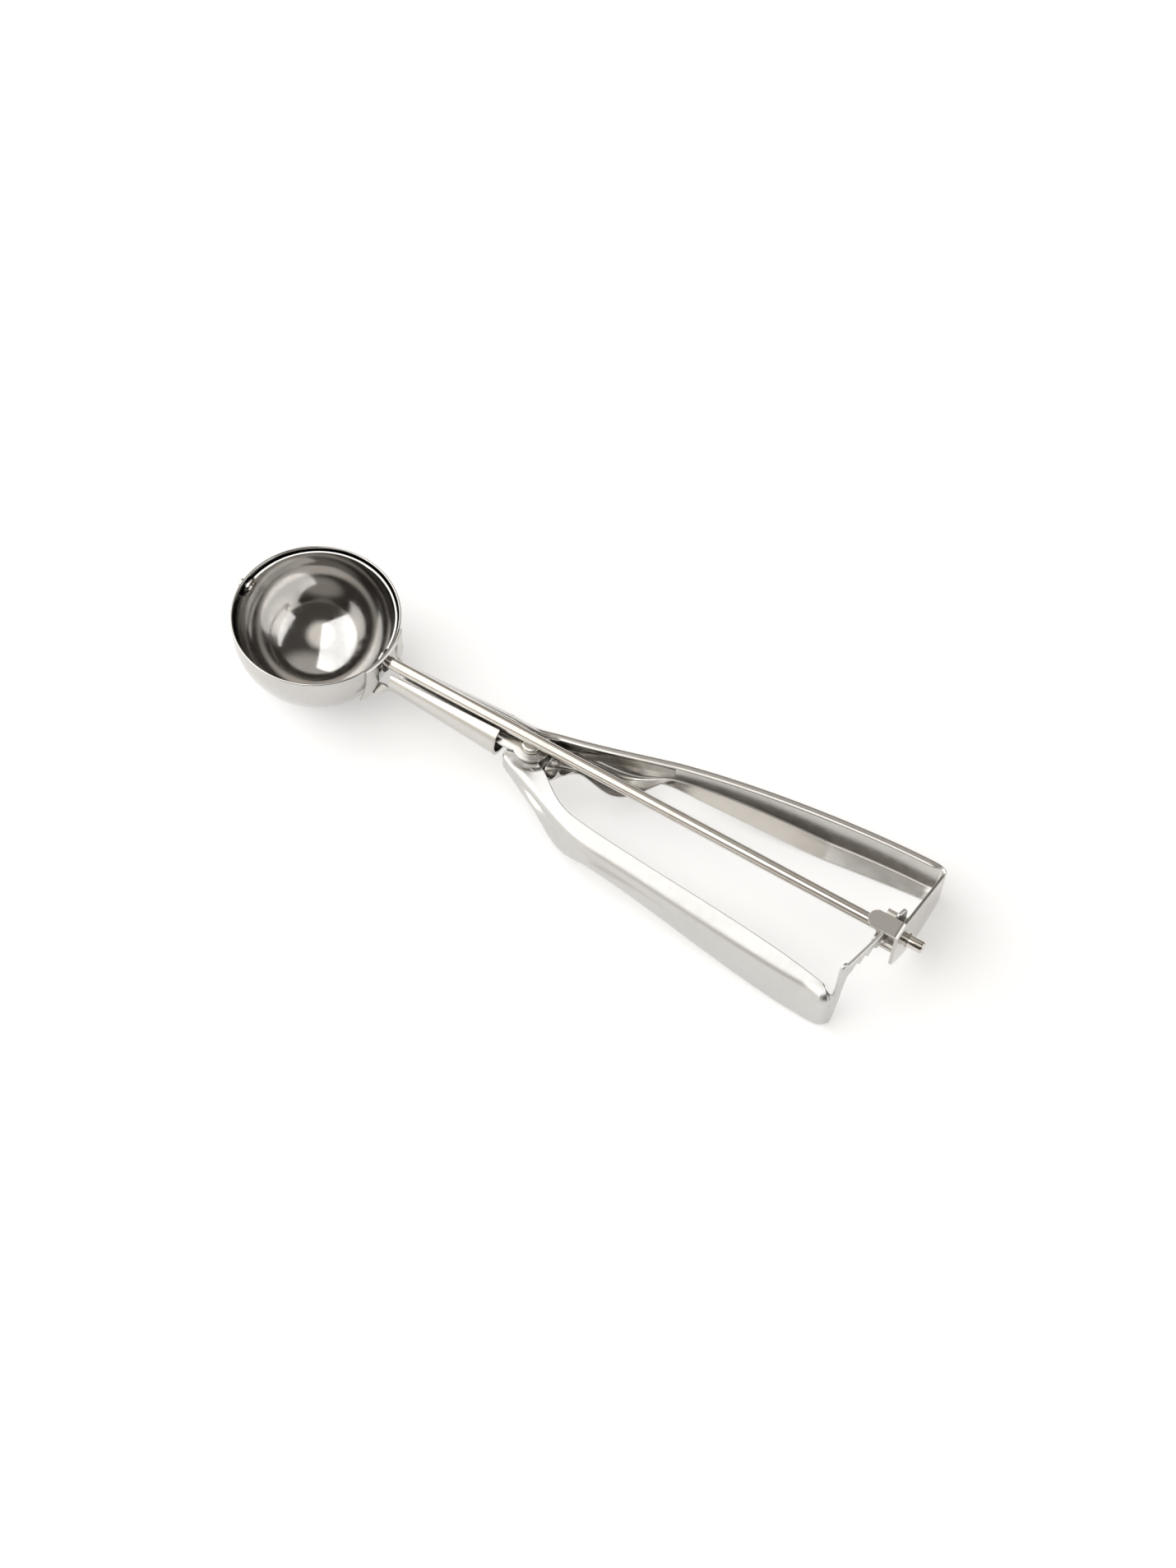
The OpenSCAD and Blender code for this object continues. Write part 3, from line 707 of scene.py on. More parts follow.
@dataclass
class Workshop:
    """What every sub-assembly needs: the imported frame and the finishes."""

    frame: dict
    finishes: Finishes
    count: int = 0

    def fit(
        self, piece: Piece, body: str | None, metal: Metal, node: str, sharp: float = 38.0
    ) -> None:
        """Shades and dresses a piece, makes it ride on its body and stand for its solid.

        Args:
            piece: The finished piece.
            body: The body that it moves with, or None for a piece that rides on no body.
            metal: Its finish.
            node: The solid that it stands for.
            sharp: Angle in degrees past which an edge isn't shaded smooth.
        """
        faces = len(piece.data.polygons)
        piece.data.polygons.foreach_set("use_smooth", np.ones(faces, bool))
        piece.data.set_sharp_from_angle(angle=math.radians(sharp))
        self.finishes.dress(piece, metal)
        if body:
            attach(piece, body)
        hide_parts(node)
        self.count += 1
        LOG.info("piece %s: %d faces, on %s, %s", piece.name, faces, body or "both", metal.value)

    def keep(self, node: str, metal: Metal) -> None:
        """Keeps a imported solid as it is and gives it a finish.

        Args:
            node: The solid.
            metal: Its finish.
        """
        self.finishes.dress(self.frame["nodes"][node], metal)
        self.count += 1
        LOG.info("kept solid %s, %s", node, metal.value)


# ---------------------------------------------------------------- the scoop's pieces


@dataclass
class Bowl:
    """The spun half-round bowl, with a straight band above the spindle and a rounded rim."""

    rod_hole: float = 1.92
    pin_hole: float = 1.57
    segments: int = 256
    crease: float = 50.0

    def profile(self) -> Array:
        """Half section (z, r): up the outside, over the rounded rim and down the inside.

        Both faces are quarter circles about the spindle's height that turn into straight bands,
        and the rim is a half circle as wide as the wall.

        Returns:
            Points of the half section.
        """
        half, inner = BOWL_WALL / 2, BOWL_RADIUS - BOWL_WALL
        outside, inside = (arc((0.0, SPINDLE_Z), r, -90, 0, 63) for r in (BOWL_RADIUS, inner))
        band = np.linspace(SPINDLE_Z, -half, 6)[1:-1]
        outer_band, inner_band = (np.c_[np.full(4, r), band] for r in (BOWL_RADIUS, inner))
        rim = arc((BOWL_RADIUS - half, -half), half, 0, 180)
        parts = [outside, outer_band, rim, inner_band[::-1], inside[::-1]]
        return np.concatenate(parts)[:, ::-1]

    def build(self, shop: Workshop) -> None:
        """Spins the profile about Z and drills it for the rod and the front pin.

        Args:
            shop: The workshop.
        """
        shell = turned("bowl_shell", self.profile(), self.segments, upright=True)
        for wall, hole in ((BOWL_RADIUS, self.rod_hole), (-BOWL_RADIUS, self.pin_hole)):
            drill(shell, wall - 5, wall + 5, hole)
        shop.fit(shell, "frame", Metal.BOWL, "bowl", self.crease)


@dataclass
class Spindle:
    """The rod, its pinion and ring, the wiper and the front pin."""

    rod_radius: float = 1.85
    front_x: float = 22.95
    ring_x: float = 200.7
    end_x: float = 205.9
    groove: float = 0.4
    wiper_gap: float = 0.35
    wiper_sheet: float = 0.7
    wiper_middle: float = 3.4
    wiper_end: float = 2.2
    eye: float = 3.1
    eye_hole: float = 1.14

    def rod(self) -> Piece:
        """The turned rod: riveted head and tenon, the ring's groove and a chamfered end.

        Returns:
            The piece.
        """
        r, ring, end = self.rod_radius, self.ring_x, self.end_x
        return turned("spindle_rod_turned", np.array([
            (self.front_x, 0.0), (self.front_x, 0.9), (23.05, 1.35), (23.3, 1.8), (23.55, 2.06),
            (23.62, 2.1), (23.62, 1.1), (24.33, 1.1), (24.36, r - 0.1), (24.45, r),
            (31.9, r), (ring - 60, r), (ring, r), (ring, r - self.groove),
            (ring + 0.6, r - self.groove), (ring + 0.6, r), (end - 0.55, r),
            (end - 0.25, r - 0.12), (end - 0.07, r - 0.32), (end, r - 0.6), (end, 0.0),
        ]))

    def wiper(self) -> Piece:
        """The sprung strip, which lies on a ball just inside the bowl.

        Its middle line is a half circle from pole to pole. The half width swells with the sine
        of the angle along it, and near each pole it follows the eye's own circle instead. A
        point at height h has the latitude whose sine is h over the ball's radius.

        Returns:
            The piece.
        """
        ball = BOWL_RADIUS - BOWL_WALL - self.wiper_gap - self.wiper_sheet / 2
        over = math.asin((self.eye - 0.02) / ball)
        turn = math.pi / 2 - (math.pi / 2 + over) * np.cos(np.linspace(0, np.pi, 241))
        from_pole = ball * np.sin(np.minimum(np.abs(turn), np.abs(np.pi - turn)))
        ring = np.sqrt(np.maximum(self.eye**2 - np.minimum(from_pole, self.eye) ** 2, 0.0004))
        swell = np.maximum(np.sin(turn), 0.0) ** 0.8
        strip = self.wiper_end + (self.wiper_middle - self.wiper_end) * swell
        half = np.where((turn > 0) & (turn < np.pi), np.maximum(strip, ring), ring)
        lat = np.arcsin(half[:, None] * np.linspace(-1, 1, 25) / ball)
        long = turn[:, None]
        way = np.stack([np.cos(long) * np.cos(lat), np.sin(long) * np.cos(lat), np.sin(lat)], -1)
        made = sheet_metal("wiper_strip", way * ball + [0, 0, SPINDLE_Z], way, self.wiper_sheet)
        for start, end in ((20, 26), (-26, -20)):
            drill(made, start, end, self.eye_hole)
        return made

    def build(self, shop: Workshop) -> None:
        """Builds the rod and the wiper, and keeps the small turned and cut solids.

        Args:
            shop: The workshop.
        """
        shop.fit(self.rod(), "spindle", Metal.ROD, "spindle_rod")
        shop.fit(self.wiper(), "spindle", Metal.BOWL, "wiper_blade")
        shop.keep("pinion", Metal.GEAR)
        shop.keep("front_pin", Metal.ROD)
        shop.keep("retaining_ring", Metal.SPRING)


@dataclass
class FixedHandle:
    """The fixed handle: collar, cheeks, shank, ears, channel, end tab and guide tongue.

    A pair named for X says where a change along the handle starts and ends. Slopes, bends,
    turns and wing angles are in degrees.
    """

    sheet: float = 1.0
    top: float = -8.0
    levels: Triple = (-16.3, -21.4, -18.0)
    bulge: float = 103.0
    waist: float = 116.0
    end_y: float = 29.7
    corner: float = 3.2
    tab_round: float = 2.1
    tab_low: float = -8.8
    tongue: Point = (-6.9, -1.2)
    tongue_tip: float = 189.4
    tongue_top: float = 5.84
    fold: float = 1.1
    lip: float = 1.7
    lip_bend: float = 112.0
    blend_x: Point = (66.5, 82.0)
    flange_max: float = 12.0
    flange_x: Point = (100.0, 112.0)
    slope: float = 21.0
    slope_x: Point = (108.0, 124.0)
    slope_loss: float = 6.0
    slope_loss_x: Point = (130.0, 178.0)
    hang: float = 0.5
    hang_x: Point = (112.0, 130.0)
    table_gap: float = 0.2
    shank: Point = (28.4, 66.5)
    shank_radii: Point = (4.6, 6.6)
    shank_heights: Point = (-9.9, -10.6)
    slot: float = 2.35
    collar_radius: float = 25.53
    collar_sheet: float = 0.7
    collar_depth: float = 12.6
    collar_eye: float = 3.3
    collar_strip: float = 1.6
    wing_angle: float = 11.0
    wing_end: float = 21.2
    wing_lean: float = 5.6
    rod_hole: float = 1.93
    tab_hole: float = 1.96
    ear_radius: float = 5.7
    ear_bevel: float = 0.22
    cheek_sheet: float = 0.9
    roll_start: Triple = (83.9, -1.4, -12.3)
    roll_end: Triple = (90.0, 3.6, -14.9)
    roll_radii: Point = (3.1, 0.8)
    roll_turns: Point = (338.0, 188.0)
    roll_slant: float = 0.36
    roll_sheet: float = 0.55

    def wall(self) -> PlanLine:
        """The wall's outer face in plan: two curves, the end's corner and the tab.

        Returns:
            The line.
        """
        c, end = self.corner, self.end_y
        return PlanLine(
            bezier([(64, 6.0), (79, 6.1), (98, 13.2), (115.3, 18.5)], 60),
            bezier([(115.3, 18.5), (135.3, 24.1), (168, 29.2), (TAB_X - c, end)], 80),
            arc((TAB_X - c, end - c), c, 90, 0, 20),
            [(TAB_X, y) for y in np.linspace(end - c - 0.5, self.tongue[0], 60)],
        )

    def flange_edge(self) -> Array:
        """Free edge of the bottom flange, round the lower ear and on along the channel."""
        return np.concatenate([
            [(60, -0.2), (66.5, -0.2), (69.2, -1.0)],
            arc((PIVOT_X, 0), self.ear_radius, 195, 300, 16),
            [(81.5, -4.3)],
            bezier([
                (84.4, -3.5), (86.2, -1), (88.4, 3.2), (91, 3.9), (93.6, 4.6), (99.5, 3), (102.9, 5.2),
                (107.5, 8), (110, 13), (112.4, 15), (118, 15.6), (160, 21.5), (196.9, 25),
            ]),
            [(199.5, 25)],
        ])

    def tab_edge(self) -> Array:
        """Lower edge of the end tab against Y: its rounded tip, then a sweep down to the foot.

        Returns:
            Points of the edge.
        """
        r = self.tab_round
        tip = arc((self.tongue[0] + r, self.tab_low), r, 180, 230, 10)
        return np.concatenate([tip, [(0.6, -16.6), (6.5, -20.6), (12.8, FOOT_Z), (40, FOOT_Z)]])

    @staticmethod
    def table_at(x: Array) -> Array:
        """Level of the table under the scoop: a line from the bowl's bottom to the foot."""
        bottom = SPINDLE_Z - BOWL_RADIUS
        return bottom + (FOOT_Z - bottom) * x / TAB_X

    def channel(self) -> Piece:
        """The channel, the end tab and the tongue as one bent sheet.

        The section starts as the far half of the shank's round tube and turns, by a smooth step
        along X, into a wall with a lip above and a flange below, which slopes. Past the corner
        both unfold, the top rises and the lower edge sweeps up. Over the tongue's width the top
        bends inwards again and runs to the tongue's rounded tip.

        Returns:
            The piece.
        """
        line, half = self.wall(), self.sheet / 2
        turn_at = line.where(0, TAB_X - self.corner)
        tab_at = line.where(1, self.end_y - self.corner)
        step = line.length - (self.tongue[1] - self.tongue[0])
        stations = np.unique(np.round(stretches(
            (line.where(0, 65.6, False), turn_at, 170), (turn_at, tab_at, 26),
            (tab_at, step - 0.02, 46), (step, line.length, 42),
        ), 4))
        at = line.at(stations)
        x, y = at.T
        on_tab = smooth_step(turn_at - 2.0, tab_at + 0.5, stations)
        tab = stations > tab_at

        low = np.where(tab, read(self.tab_edge(), y), grip_edge(x, self.bulge, self.waist, self.levels))
        wide = reach(at, line.inward(stations, -1.0), self.flange_edge(), 5.0)
        wide = np.where(x < self.flange_x[0], np.minimum(wide, self.flange_max), wide)
        low_radius = np.interp(x, [66, 84, *self.flange_x], [5.6, 3.2, 2.6, 1.0])
        low_radius = np.minimum(low_radius, np.maximum(wide - half - 0.3, 0.8))
        slope = self.slope - self.slope_loss * smooth_step(*self.slope_loss_x, x)
        bend = np.pi / 2 - np.radians(slope) * smooth_step(*self.slope_x, x)
        flat = (wide - half - low_radius * (1 - np.cos(bend))) / np.sin(bend)
        flat = np.maximum(flat, FLAT_RUN)
        drop = flat * np.cos(bend) - low_radius * (1 - np.sin(bend))
        low = low - (drop + self.hang * smooth_step(*self.hang_x, x)) * (1 - on_tab)
        low = np.maximum(low, self.table_at(x) + self.table_gap)
        flange = Fold(
            low + half * (1 - on_tab), mix(bend, FLAT_BEND, on_tab), mix(flat, FLAT_RUN, on_tab), low_radius
        )

        rise = np.interp(y, [self.tongue[1], self.end_y - self.corner], [self.tongue_top, self.top])
        top = np.where(tab, rise, self.top)
        over = tab & (y < self.tongue[1] - 0.005)
        mid, r = sum(self.tongue) / 2, (self.tongue[1] - self.tongue[0]) / 2
        tip_x = self.tongue_tip + r - np.sqrt(np.maximum(r * r - (y - mid) ** 2, 0))
        lip = np.maximum(self.lip * (1 - on_tab) + 0.3 - half - self.fold, 0.06)
        lip_bend = mix(math.radians(self.lip_bend), FLAT_BEND, on_tab)
        upper = Fold(
            top - half * np.where(over | ~tab, 1, 0.3),
            np.where(over, np.pi / 2, lip_bend),
            np.where(over, TAB_X - half - self.fold - tip_x, lip),
            np.full(len(x), self.fold),
        )

        middle, normal = Section(upper, flange).loft(line, stations, -1.0, half)
        tube_radius = np.full(len(x), self.shank_radii[1] - half - 0.14)
        angle = np.broadcast_to(np.radians(np.linspace(64, -92, middle.shape[1])), middle.shape[:2])
        round_middle, round_normal = self.pipe(x, self.shank_heights[1], tube_radius, angle)
        blend = smooth_step(*self.blend_x, x)[:, None, None]
        middle = mix(round_middle, middle, blend)
        normal = unit(mix(round_normal, normal, blend))
        made = sheet_metal("fixed_handle_channel", middle, normal, self.sheet)
        return drill(made, TAB_X - 3, TAB_X + 3, self.tab_hole)

    @staticmethod
    def pipe(x: Array, z: Array | float, radius: Array, angle: Array) -> tuple[Array, Array]:
        """A round wall about a line along X.

        y is the radius times the cosine of the angle, and the height is the line's plus the
        radius times the sine.

        Args:
            x: Stations along the line.
            z: The line's height.
            radius: The radius at each station.
            angle: Angles round the line, in a row for each station.

        Returns:
            Points and normals.
        """
        way = np.stack([np.zeros_like(angle), np.cos(angle), np.sin(angle)], -1)
        centre = np.stack(np.broadcast_arrays(x, 0.0, z), -1)
        return centre[:, None] + way * radius[:, None, None], way

    def tube(self) -> Piece:
        """The shank: a tapered round tube, open along its top so that the rod shows.

        Radius and centre height change evenly along X, and the angle runs from one edge of the
        slot, down and round, to the other.

        Returns:
            The piece.
        """
        t = np.linspace(0, 1, 60)
        x = self.shank[0] + (self.shank[1] - self.shank[0]) * t
        r = np.interp(t, [0, 1], self.shank_radii) - self.sheet / 2
        z = np.interp(t, [0, 1], self.shank_heights)
        gap = np.arcsin((self.slot + 0.15) / r)[:, None]
        a = (np.pi / 2 - gap) + (-2 * np.pi + 2 * gap) * np.linspace(0, 1, 90)
        return sheet_metal("shank_tube", *self.pipe(x, z, r, a), self.sheet)

    def collar(self) -> Piece:
        """The collar round the back of the bowl, with the rod's eye and two leaning wings.

        On a drum of constant radius the depth below the rim is a narrow strip in the middle, the
        eye's own circle round the rod, and the full height in the wings. The wings' free ends
        lean by the cube of the depth.

        Returns:
            The piece.
        """
        radius, deep, eye = self.collar_radius + self.collar_sheet / 2, self.collar_depth, self.collar_eye
        inner, wing_step, seam = math.radians(self.wing_angle), 0.08, 0.0005
        middle_part = np.linspace(-inner, inner, 121)
        u = np.unique(np.concatenate([middle_part, [-inner - seam, inner + seam]]))
        side = np.linspace(inner + seam, inner + wing_step, 16)[1:]
        u = np.concatenate([-side[::-1], u, side])
        y = np.abs(radius * np.sin(u))
        around = -SPINDLE_Z + np.sqrt(np.maximum(eye**2 - np.minimum(y, eye) ** 2, 0))
        depth = np.where(y < eye, around, self.collar_strip)
        depth = np.where(np.abs(u) > inner + 1e-4, deep, depth)
        z = -0.06 - np.linspace(0, 1, 26) * (depth[:, None] - 0.12)
        end = math.radians(self.wing_end) + math.radians(self.wing_lean) * (-z / deep) ** 3
        wing = np.clip((np.abs(u) - inner) / wing_step, 0, 1)[:, None]
        angle = np.where(wing > 0, np.sign(u)[:, None] * (inner + wing * (end - inner)), u[:, None])
        way = np.stack([np.cos(angle), np.sin(angle), np.zeros_like(angle)], -1)
        middle = np.concatenate([(way * radius)[..., :2], z[..., None]], -1)
        return drill(sheet_metal("bowl_collar", middle, way, self.collar_sheet), 22, 30, self.rod_hole)

    def cheek(self, name: str, side: float) -> Piece:
        """One web from a collar wing to the shank, a ruled sheet between two lines.

        The front line stands on the wing, and the back line follows the shank's side. A point is
        a blend of the two, bowed a little so that it leaves both at a soft angle.

        Args:
            name: The piece's name.
            side: 1 for the far cheek, or -1 for the near one.

        Returns:
            The piece.
        """
        v = np.linspace(0, 1, 24)[None]
        t = np.linspace(0, 1, 18)[:, None, None]
        front = np.stack([25.7 - 0.5 * v, 4.9 + 2.4 * v, -9.6 - 2.8 * v], -1)
        a = np.radians(-4 - 66 * v)
        r = self.shank_radii[0] - self.sheet / 2
        back = np.stack([np.full_like(v, 29.6), r * np.cos(a), self.shank_heights[0] + r * np.sin(a)], -1)
        soft = t * t * (3 - 2 * t) * 0.45 + t * 0.55
        middle = (front + (back - front) * np.concatenate([t, soft, soft], -1)) * [1, side, 1]
        normal = unit(np.cross(np.gradient(middle, axis=0), np.gradient(middle, axis=1)))
        return sheet_metal(name, middle, normal, self.cheek_sheet)

    def ear(self) -> Piece:
        """The upper ear: a disc about the rivet with a neck back to the shank.

        Returns:
            The piece.
        """
        outline = np.concatenate([
            [(64.6, -4.5), (66.4, -4.6), (69.5, -4.6)],
            arc((PIVOT_X, 0), self.ear_radius, 230, 415, 40),
            [(82.0, 5.6), (82.4, 6.3), (79.0, 5.6), (PIVOT_X, 5.25), (67, 5.0), (64.6, 4.6)],
        ])
        high = self.top + 0.02
        return plate("upper_ear", outline, high - self.sheet, high, self.ear_bevel)

    def rolled_edge(self) -> Piece:
        """The near edge beside the pivot, rolled up into a short open cone that runs out flat.

        Along the cone its radius shrinks, a little faster at the mouth, and the angle that the
        sheet runs round it falls evenly from nearly a full turn to half of one. The mouth is cut
        on the slant: each point is moved along by a share of its height over the axis, less and
        less towards the flat end.

        Returns:
            The piece.
        """
        start, end = np.array(self.roll_start), np.array(self.roll_end)
        t = np.linspace(0, 1, 40)[:, None]
        r = self.roll_radii[0] + (self.roll_radii[1] - self.roll_radii[0]) * t**0.8
        turns = np.radians(self.roll_turns[0] + (self.roll_turns[1] - self.roll_turns[0]) * t)
        a = np.radians(108) - turns * np.linspace(0, 1, 72)
        along = unit(end - start)
        side = unit(np.cross([0.0, 0.0, 1.0], along))
        way = np.cos(a)[..., None] * side + np.sin(a)[..., None] * np.cross(along, side)
        slant = along * (self.roll_slant * (1 - t) * r * np.sin(a))[..., None]
        middle = start + (end - start) * t[..., None] + way * r[..., None] + slant
        return sheet_metal("rolled_edge", middle, way, self.roll_sheet)

    def build(self, shop: Workshop) -> None:
        """Builds every part of the fixed handle and sets it in place of the solid.

        Args:
            shop: The workshop.
        """
        sheets = [self.channel(), self.tube(), self.collar()]
        sheets += [self.cheek(name, side) for name, side in (("cheek_far", 1.0), ("cheek_near", -1.0))]
        for piece in sheets:
            shop.fit(piece, "frame", Metal.HANDLE, "fixed_handle")
        shop.fit(self.ear(), "frame", Metal.HANDLE, "fixed_handle", PLATE_CREASE)
        shop.fit(self.rolled_edge(), "frame", Metal.HANDLE, "fixed_handle")
        shop.keep("pivot_rivet", Metal.HANDLE)


@dataclass
class SqueezeHandle:
    """The moving handle: knuckle, channel and the toothed end.

    A pair named for X says where a change along the handle starts and ends. The slope, the lean
    and the flank are in degrees.
    """

    sheet: float = 1.0
    top: float = -8.2
    levels: Triple = (-15.1, -20.7, -17.2)
    bulge: float = 98.0
    waist: float = 110.0
    plate_drop: float = 1.0
    plate_radius: float = 5.3
    end_y: float = -28.0
    corner: float = 4.0
    step_round: Point = (7.0, 9.2)
    step_levels: Point = (-13.0, -10.5)
    plate_bevel: float = 0.2
    flange_max: float = 11.0
    flange_x: Point = (84.0, 186.0)
    slope: float = 26.0
    draw_in: float = 1.5
    open_x: Point = (73.0, 86.0)
    top_fold: Triple = (1.6, 2.6, 3.4)
    top_fold_x: Triple = (70.0, 90.0, 110.0)
    low_fold: float = 0.6
    lip: float = 0.3
    knuckle: Point = (72.6, -5.3)
    knuckle_radius: float = 2.8
    rack_x: float = 197.2
    rack_end: float = 2.95
    rack_top: float = 4.6375
    lean: float = 13.0
    gear_radius: float = 118.775
    gear_loss: float = 0.18
    gear_teeth: int = 209
    module: float = 1.15
    backlash: float = 0.075
    pitch_z: float = 0.1
    flank: float = 30.0
    hump: float = 2.6
    hump_y: float = -21.6
    hump_round: float = 1.3
    lug: float = 1.9
    crease: float = 42.0

    @property
    def tab_y(self) -> float:
        """Where the end corner turns into the flat, leaning tab."""
        return self.end_y + self.corner * (1 - math.sin(math.radians(self.lean)))

    def wall(self) -> PlanLine:
        """The wall's outer face in plan: knuckle, two bends of the grip, corner and rack.

        Returns:
            The line.
        """
        lean, c, end = math.radians(self.lean), self.corner, self.end_y
        corner_x = self.rack_x + (end + c) * math.tan(lean) - c / math.cos(lean)
        y = np.linspace(self.tab_y + 0.3, self.rack_end, 200)
        return PlanLine(
            arc(self.knuckle, self.knuckle_radius, 165, 230, 14),
            bezier([(71.2, -7.7), (82, -13.1), (95.5, -21.6), (112, -22.6)], 90),
            bezier([(112, -22.6), (135, -24.2), (170, end), (corner_x, end)], 80),
            arc((corner_x, end + c), c, -90, -self.lean, 24),
            np.stack([self.rack_x + y * math.tan(lean), y], 1),
        )

    def flange_edge(self) -> Array:
        """Free edge of the top flange: round the knuckle, then along the grip to the corner."""
        return np.concatenate([
            arc((PIVOT_X, 0), self.plate_radius, 175, -45, 24),
            bezier([
                (80, -3.9), (85.5, -5.2), (89.8, -12.7), (98.8, -14.2),
                (118, -17.4), (165, -18), (187, -23.2),
            ]),
            [(187, -23.2), (188.6, -24.2)],
        ])

    def teeth(self) -> Array:
        """The rack's lower edge against Y: straight-sided gaps between flat-tipped teeth.

        Each gap is centred on a whole number of angular steps about the rivet, at the leaning
        tab's own distance from it. Its half width is a quarter of the pitch at the pitch line,
        and grows downwards by the flank's angle.

        Returns:
            Points of the edge, from the first gap on.
        """
        tip, root = self.pitch_z - 0.9 * self.module, self.pitch_z + 1.25 * self.module
        half = math.pi * self.module / 4 + self.backlash
        slope = math.tan(math.radians(self.flank))
        low, high = half + (self.pitch_z - tip) * slope, half - (root - self.pitch_z) * slope
        k = np.arange(-5, 2)[:, None]
        centre = (self.gear_radius - abs(k) * self.gear_loss) * np.sin(np.radians(k * 360 / self.gear_teeth))
        y = centre + [-low, -high, high, low]
        gaps = np.stack([y, np.broadcast_to([tip, root, root, tip], y.shape)], -1).reshape(-1, 2)
        return np.concatenate([gaps, [(gaps[-1, 0] + 0.3, root), (20.0, root)]])

    def tab_edge(self, teeth: Array) -> Array:
        """Lower edge of the tab against Y: a sweep up from the foot, then the given teeth."""
        return np.concatenate([
            [(self.tab_y, FOOT_Z), (-24.2, FOOT_Z + 1.5), (-23.2, -18), (-22.6, -14)],
            [(-22, -8), (-21.4, -3.4), (-20.6, teeth[0, 1])],
            teeth,
        ])

    def tab_back(self) -> Array:
        """Upper edge of the tab against Y: the flange, the hump, the rack's back and the lug.

        Returns:
            Points of the edge.
        """
        start, hump, back, r = self.tab_y, self.hump_y, self.rack_top, self.hump_round
        return np.concatenate([
            [(start - 5, self.top), (start, self.top), (start + 0.5, -4.0), (hump - 2.7, 2.5)],
            arc((hump - r, back + self.hump - r), r, 175, 0, 14),
            [(hump + 0.25, back), (-1.12, back), (-0.9, back + 1.3), (-0.4, back + self.lug)],
            arc((self.rack_end - self.lug, back), self.lug, 90, 0, 10),
        ])

    def channel(self) -> Piece:
        """The grip's channel, its corner and the toothed tab as one bent sheet.

        The wall carries a wide sloped flange above and a narrow lip below, bent through a
        quarter turn. Past the corner both unfold into the flat tab. The tab's top edge climbs
        over the hump, runs along the rack's back and climbs again to the lug, and its lower edge
        sweeps up from the foot into the teeth. Round the rivet the top flange steps down.

        Returns:
            The piece.
        """
        line, half = self.wall(), self.sheet / 2
        turn_at = line.where(0, line.points[:, 0][np.argmin(line.points[:, 1])], False)
        tab_at, start = line.where(1, self.tab_y), line.where(0, 96.0)
        teeth = self.teeth()
        corners = [line.where(1, v) for v in teeth[:-1, 0] if v < self.rack_end - 0.05]
        steps = stretches(
            (0, 8, 40), (8, start, 46), (start, turn_at, 110),
            (turn_at, tab_at, 30), (tab_at, line.length, 170),
        )
        stations = np.unique(np.round(np.concatenate([steps, corners]), 3))
        stations = stations[np.concatenate([[True], np.diff(stations) > 0.015])]
        at = line.at(stations)
        x, y = at.T
        tab = stations > tab_at
        on_tab = smooth_step(tab_at - 3.2, tab_at + 0.6, stations)

        low = grip_edge(x, self.bulge, self.waist, self.levels)
        low = np.where(tab, read(self.tab_edge(teeth), y), low)
        low_radius = np.full(len(x), self.low_fold)
        lip = Fold(
            low + half * (1 - on_tab),
            np.pi / 2 * (1 - on_tab) + FLAT_BEND,
            self.lip * (1 - on_tab) + FLAT_RUN,
            low_radius,
        )

        top = np.where(tab, read(self.tab_back(), y), self.top)
        wide = reach(at, line.inward(stations, 1.0), self.flange_edge(), 4.0)
        wide = np.where(x < self.flange_x[0], np.minimum(wide, self.flange_max), wide)
        on_grip = (x > self.flange_x[0] - 4) & (x < self.flange_x[1]) & ~tab
        wide = np.where(on_grip, soften(wide, stations, 2.2), wide)
        fold = 1 - smooth_step(tab_at - 2.2, tab_at + 0.2, stations)
        open_out = smooth_step(*self.open_x, x)
        open_out *= 1 - smooth_step(turn_at - 6, tab_at - 1.5, stations)
        draw_in = self.draw_in * open_out
        radius = np.interp(x, self.top_fold_x, self.top_fold)
        radius = np.minimum(radius, np.maximum(wide - half - 0.3 - draw_in, 0.8))
        room = np.maximum(self.top - low - self.sheet - low_radius - radius - 0.5, 0)
        tilt = np.minimum(math.sin(math.radians(self.slope)), room / np.maximum(wide, 1))
        bend = np.pi / 2 - np.arcsin(tilt) * open_out
        run = (wide - half - draw_in - radius * (1 - np.cos(bend))) / np.sin(bend)
        flange = Fold(
            top - half * (1 - 0.8 * on_tab),
            bend * fold + FLAT_BEND,
            np.maximum(run, FLAT_RUN) * fold + FLAT_RUN,
            radius,
        )

        middle, normal = Section(flange, lip, draw_in).loft(line, stations, 1.0, half)
        away = np.hypot(middle[..., 0] - PIVOT_X, middle[..., 1])
        upper = smooth_step(*self.step_levels, middle[..., 2])
        middle[..., 2] -= self.plate_drop * upper * (1 - smooth_step(*self.step_round, away))
        return sheet_metal("squeeze_handle_channel", middle, normal, self.sheet)

    def knuckle_plate(self, name: str, low: float) -> Piece:
        """One of the plates round the rivet: a disc and a neck to the wall.

        Args:
            name: The piece's name.
            low: Level of its lower face.

        Returns:
            The piece.
        """
        outline = np.concatenate([
            arc(self.knuckle, self.knuckle_radius - 0.3, 230, 120, 14),
            arc((PIVOT_X, 0), self.plate_radius, 170, -35, 36),
            [(81.0, -4.6), (81.2, -6.4), (79.4, -8.2), (76.0, -8.6)],
        ])
        return plate(name, outline, low, low + self.sheet, self.plate_bevel)

